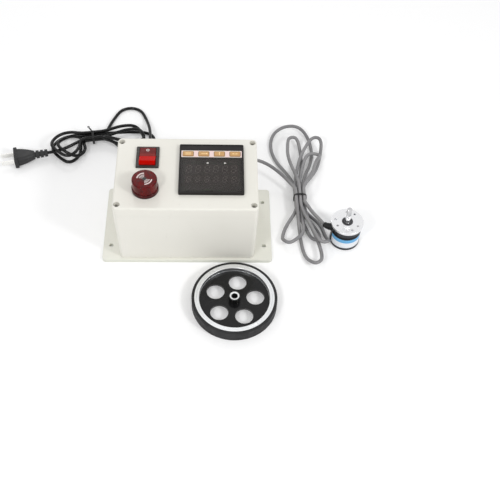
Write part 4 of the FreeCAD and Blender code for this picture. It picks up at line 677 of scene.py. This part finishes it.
def flat_arcs(name, material, centre, starts, span, arcs, depth):
    """Flat pieces of ring round an upright axis: of each its radii and height, all in mm."""
    mesh = bmesh.new()
    for start in starts:
        for inner, outer, level in arcs:
            turns = [radians(start + span * number / ARC_STEPS) for number in range(ARC_STEPS + 1)]
            rows = [[mesh.verts.new(((centre[0] + reach * cos(turn)) * MM,
                                     (centre[1] + reach * sin(turn)) * MM, level * MM))
                     for turn in turns] for reach in (inner, outer)]
            for number in range(ARC_STEPS):
                mesh.faces.new((rows[0][number], rows[1][number], rows[1][number + 1],
                                rows[0][number + 1]))
    raised = bmesh.ops.extrude_face_region(mesh, geom=mesh.faces[:], use_keep_orig=True)["geom"]
    lift = [part for part in raised if isinstance(part, bmesh.types.BMVert)]
    bmesh.ops.translate(mesh, verts=lift, vec=(0, 0, -depth * MM))
    bmesh.ops.recalc_face_normals(mesh, faces=mesh.faces[:])
    data = bpy.data.meshes.new(name)
    mesh.to_mesh(data)
    mesh.free()
    piece = bpy.data.objects.new(name, data)
    scene.collection.objects.link(piece)
    data.materials.append(material)
    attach(piece, "housing")


def build_grille():
    """Bright fans in and between the lamp's sound slots, round a black disc painted as the shade of
    its middle hole.
    """
    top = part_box("buzzer_cap")[1].z / MM
    graph = Graph("grille_silver")
    away = graph.moved((BUZZER[0] * MM, BUZZER[1] * MM, 0))
    turn = graph.math("ARCTAN2", graph.part(away, 1), graph.part(away, 0))
    slits = graph.math("SINE", graph.math("MULTIPLY", turn, GRILLE_SLITS))
    dim = graph.span(slits, -0.8, 0.1, 0, 1)
    inner = graph.span(graph.radius((BUZZER[0] * MM, BUZZER[1] * MM, 0)), 0.0064, 0.007, 1, 0)
    dimmed = graph.math("MULTIPLY", inner, dim)
    silver = graph.surface(Base_Color=graph.blend(dimmed, tone(196, 182, 180), tone(62, 52, 53)),
                           Metallic=0.7, Roughness=graph.span(dim, 0, 1, 0.3, 0.42))
    arcs = [(near, far, top + level) for near, far, level in GRILLE_ARCS]
    flat_arcs("lamp_grille", silver, BUZZER, GRILLE_STARTS, GRILLE_SPAN, arcs,
              GRILLE_DEPTH)
    # Painted shade: a black disc over the lamp's middle hole
    flat_arcs("lamp_hole", moulded("hole_painted_shade", tone(6, 5, 5), tone(3, 3, 3)),
              BUZZER, (0,), 360, [(0.02, 2.3, top + 0.12)], 0.1)


def build_boot():
    """Bent rubber boot of the encoder's cord, wider at the encoder, with ribs round it."""
    path = [Vector(point) for point in BOOT_PATH]
    mesh = bmesh.new()
    rows = []
    for number in range(BOOT_STEPS + 1):
        share = number / BOOT_STEPS
        place = bezier(path, share)
        along = (bezier(path, min(share + 0.01, 1)) - bezier(path, max(share - 0.01, 0))).normalized()
        side = along.cross(Vector((0, 0, 1))).normalized()
        above = side.cross(along)
        rib = BOOT_RIB if number % BOOT_RIB_EVERY == 1 and share > BOOT_SMOOTH_SHARE else 0
        reach = BOOT_RADII[0] + (BOOT_RADII[1] - BOOT_RADII[0]) * share ** BOOT_TAPER + rib
        rows.append([mesh.verts.new((place + (side * cos(turn) + above * sin(turn)) * reach) * MM)
                     for turn in (tau * spot / BOOT_SIDES for spot in range(BOOT_SIDES))])
    for first, second in zip(rows, rows[1:]):
        for spot in range(BOOT_SIDES):
            after = (spot + 1) % BOOT_SIDES
            mesh.faces.new((first[spot], first[after], second[after], second[spot]))
    mesh.faces.new(rows[0])
    mesh.faces.new(rows[-1])
    bmesh.ops.recalc_face_normals(mesh, faces=mesh.faces[:])
    for face in mesh.faces:
        face.smooth = len(face.verts) == 4
    data = bpy.data.meshes.new("encoder_boot")
    mesh.to_mesh(data)
    mesh.free()
    piece = bpy.data.objects.new("encoder_boot", data)
    scene.collection.objects.link(piece)
    data.materials.append(nodes["encoder_gland"].data.materials[0])
    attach(piece, "housing")
    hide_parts("encoder_gland")


def bezier(path, share):
    """Point on a smooth curve with these control points."""
    points = list(path)
    while len(points) > 1:
        points = [first.lerp(second, share) for first, second in zip(points, points[1:])]
    return points[0]


# Marks that lie on a CAD surface

trees = {}


def dropped(node, spot, along):
    """Where a ray meets a CAD node."""
    if node not in trees:
        mesh = nodes[node].data
        trees[node] = BVHTree.FromPolygons([vertex.co for vertex in mesh.vertices],
                                           [face.vertices for face in mesh.polygons])
    return trees[node].ray_cast(spot, along)[0]


def lay_on(name, node, body, material, faces, centre, along=(0, 0, -1), right=(1, 0, 0),
           height=0.07, sunk=0.05):
    """A thin mark on a CAD surface: flat faces in mm, dropped from beside a centre."""
    ray, rightward = Vector(along), Vector(right)
    upward = rightward.cross(ray)
    mesh = bmesh.new()
    spots = {}
    for face in faces:
        corners = []
        for across, ahead in face:
            key = (round(across, 4), round(ahead, 4))
            if key not in spots:
                start = (Vector(centre) + rightward * across + upward * ahead) * MM
                hit = dropped(node, start, ray)
                spots[key] = mesh.verts.new(hit + ray * sunk * MM)
            corners.append(spots[key])
        mesh.faces.new(corners)
    raised = bmesh.ops.extrude_face_region(mesh, geom=mesh.faces[:], use_keep_orig=True)["geom"]
    lift = [part for part in raised if isinstance(part, bmesh.types.BMVert)]
    bmesh.ops.translate(mesh, verts=lift, vec=-ray * (height + sunk) * MM)
    bmesh.ops.recalc_face_normals(mesh, faces=mesh.faces[:])
    data = bpy.data.meshes.new(name)
    mesh.to_mesh(data)
    mesh.free()
    piece = bpy.data.objects.new(name, data)
    scene.collection.objects.link(piece)
    data.materials.append(material)
    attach(piece, body)
    return piece


def bar(across, ahead, width, length, steps=4):
    """A rectangle cut into strips."""
    cuts = [ahead - length / 2 + length * number / steps for number in range(steps + 1)]
    left, right = across - width / 2, across + width / 2
    return [[(left, low), (right, low), (right, high), (left, high)]
            for low, high in zip(cuts, cuts[1:])]


def ring(across, ahead, outer, inner, count=28):
    """A ring cut into short pieces."""
    turns = [tau * number / count for number in range(count + 1)]
    return [[(across + reach * cos(turn), ahead + reach * sin(turn))
             for reach, turn in ((inner, first), (outer, first), (outer, second), (inner, second))]
            for first, second in zip(turns, turns[1:])]


def pointer(across, ahead, width, length, angle=0):
    """A triangle that points ahead, or to an angle from there."""
    corners = [(-width / 2, -length / 2), (width / 2, -length / 2), (0, length / 2)]
    swing = radians(angle)
    return [[(across + x * cos(swing) - y * sin(swing), ahead + x * sin(swing) + y * cos(swing))
             for x, y in corners]]


def segment_cell(across, ahead, width, length, thick, lean):
    """The seven bars of one digit."""
    half, quarter = length / 2, length / 4
    gap = thick * 0.6

    def leaning(points):
        return [(across + x + (y * lean), ahead + y) for x, y in points]

    def level(y):
        reach = width / 2 - gap
        return leaning([(-reach, y), (-reach + thick / 2, y - thick / 2),
                        (reach - thick / 2, y - thick / 2), (reach, y),
                        (reach - thick / 2, y + thick / 2), (-reach + thick / 2, y + thick / 2)])

    def upright(x, y):
        reach = quarter - gap
        return leaning([(x, y - reach), (x + thick / 2, y - reach + thick / 2),
                        (x + thick / 2, y + reach - thick / 2), (x, y + reach),
                        (x - thick / 2, y + reach - thick / 2),
                        (x - thick / 2, y - reach + thick / 2)])

    return [level(-half), level(0), level(half)] + [upright(side * width / 2, row * quarter)
                                                   for side in (-1, 1) for row in (-1, 1)]


def build_marks():
    white = moulded("mark_white", tone(240, 236, 232), tone(228, 224, 220), rough=(0.4, 0.5))
    cream = moulded("mark_cream", tone(252, 222, 164), tone(246, 212, 150), rough=(0.4, 0.5))
    unlit = moulded("segment_unlit", tone(214, 206, 210), tone(200, 193, 197), rough=(0.3, 0.4))
    rocker = (*ROCKER, ABOVE)
    lay_on("rocker_mark_off", "rocker_button", "rocker", white,
           ring(0, 8.6, 1.75, 1.1), rocker)
    for number, faces in enumerate((
            bar(0, 0, 6.5, 0.5) + bar(0, 1.3, 6.5, 0.5) + bar(0, -1.3, 6.5, 0.5),
            bar(0, 0, 5.5, 0.7) + pointer(3.6, 0, 2.4, 1.8, -90),
            bar(0, -0.5, 0.8, 3) + pointer(0, 1.7, 2.4, 1.6),
            bar(-1.8, 0, 2.4, 1.1) + bar(1.6, 0, 2.4, 1.1))):
        lay_on(f"key_mark_{number + 1}", f"meter_key_{number + 1}", f"key_{number + 1}", cream,
               faces, (METER[0] + (number - 1.5) * KEY_PITCH, KEY_ROW, ABOVE),
               height=0.05, sunk=0.04)
    lay_on("window_marks", "meter_window", "housing", white,
           pointer(-4.8, 7.8, 2.3, 2.7, 90) + pointer(15.4, 7.8, 2.3, 2.7, -90),
           (*METER, ABOVE), height=0.05)
    for row, node, ahead, length in (("upper", "meter_upper_digits", 0.1, 10),
                                     ("lower", "meter_lower_digits", -14.7, 8.4)):
        cells = []
        for number in range(6):
            cells += segment_cell((number - 2.5) * 9.9, ahead, length * 0.5, length, 1.1, 0.14)
        lay_on(f"{row}_segments", node, "housing", unlit, cells, (*METER, ABOVE),
               height=0.05, sunk=0.05)


# Studio

def build_floor():
    graph = Graph("floor_white")
    seen = graph.node("ShaderNodeLightPath").outputs
    direct = graph.math("MAXIMUM", seen["Is Camera Ray"],
                        graph.math("MAXIMUM", seen["Is Glossy Ray"], seen["Is Transmission Ray"]))
    mottle = graph.noise(3, 2)
    material = graph.surface(Base_Color=graph.blend(mottle, (0.86, 0.86, 0.86, 1),
                                                    (0.84, 0.84, 0.845, 1)),
                             Roughness=0.9, Emission_Color=(1, 1, 1, 1),
                             Emission_Strength=graph.math("MULTIPLY", direct, FLOOR_GLOW))
    data = bpy.data.meshes.new("floor")
    mesh = bmesh.new()
    bmesh.ops.create_grid(mesh, x_segments=8, y_segments=8, size=FLOOR_REACH)
    mesh.to_mesh(data)
    mesh.free()
    floor = bpy.data.objects.new("floor", data)
    scene.collection.objects.link(floor)
    data.materials.append(material)


def build_lamp(name, place, target, size, power):
    data = bpy.data.lights.new(name, "AREA")
    data.shape = "DISK"
    data.size = size
    data.energy = power
    lamp = bpy.data.objects.new(name, data)
    scene.collection.objects.link(lamp)
    lamp.location = place
    lamp.rotation_euler = (Vector(target) - Vector(place)).to_track_quat("-Z", "Y").to_euler()


def build_studio():
    build_floor()
    for name, place, size, power in LAMPS:
        build_lamp(name, place, LAMP_TARGET, size, power)
    world = bpy.data.worlds.new("studio")
    scene.world = world
    world.use_nodes = True
    tree = world.node_tree
    tree.nodes.clear()
    output = tree.nodes.new("ShaderNodeOutputWorld")
    path = tree.nodes.new("ShaderNodeLightPath")
    sky = tree.nodes.new("ShaderNodeBackground")
    sky.inputs["Color"].default_value = (1, 1, 1, 1)
    sky.inputs["Strength"].default_value = WORLD_LEVEL
    shown = tree.nodes.new("ShaderNodeBackground")
    shown.inputs["Color"].default_value = (1, 1, 1, 1)
    shown.inputs["Strength"].default_value = 1.0
    mix = tree.nodes.new("ShaderNodeMixShader")
    shown_to = path.outputs["Is Camera Ray"]
    for ray in ("Is Glossy Ray", "Is Transmission Ray"):
        either = tree.nodes.new("ShaderNodeMath")
        either.operation = "MAXIMUM"
        tree.links.new(shown_to, either.inputs[0])
        tree.links.new(path.outputs[ray], either.inputs[1])
        shown_to = either.outputs[0]
    tree.links.new(shown_to, mix.inputs[0])
    tree.links.new(sky.outputs[0], mix.inputs[1])
    tree.links.new(shown.outputs[0], mix.inputs[2])
    tree.links.new(mix.outputs[0], output.inputs["Surface"])
    scene.view_settings.view_transform = "Standard"


build_camera()
mains_jacket = cord_jacket("mains_jacket", tone(12, 12, 13), tone(8, 8, 9), (0.14, 0.25), 0.24,
                           0.00001)
sensor_jacket = cord_jacket("sensor_jacket", tone(138, 137, 138), tone(116, 115, 117),
                            (0.3, 0.44), 0.5, 0.00002)
tie_wire = moulded("tie_wire", tone(30, 30, 31), tone(22, 22, 23), rough=(0.26, 0.4),
                   Specular_IOR_Level=0.4)
build_cord("mains", mains_jacket, build_tie("mains", tie_wire))
build_cord("sensor", sensor_jacket, build_tie("sensor", tie_wire))
build_grille()
for material, names in finishes():
    for name in names:
        nodes[name].data.materials.clear()
        nodes[name].data.materials.append(material)
build_boot()
build_marks()
build_studio()
bpy.context.view_layer.update()
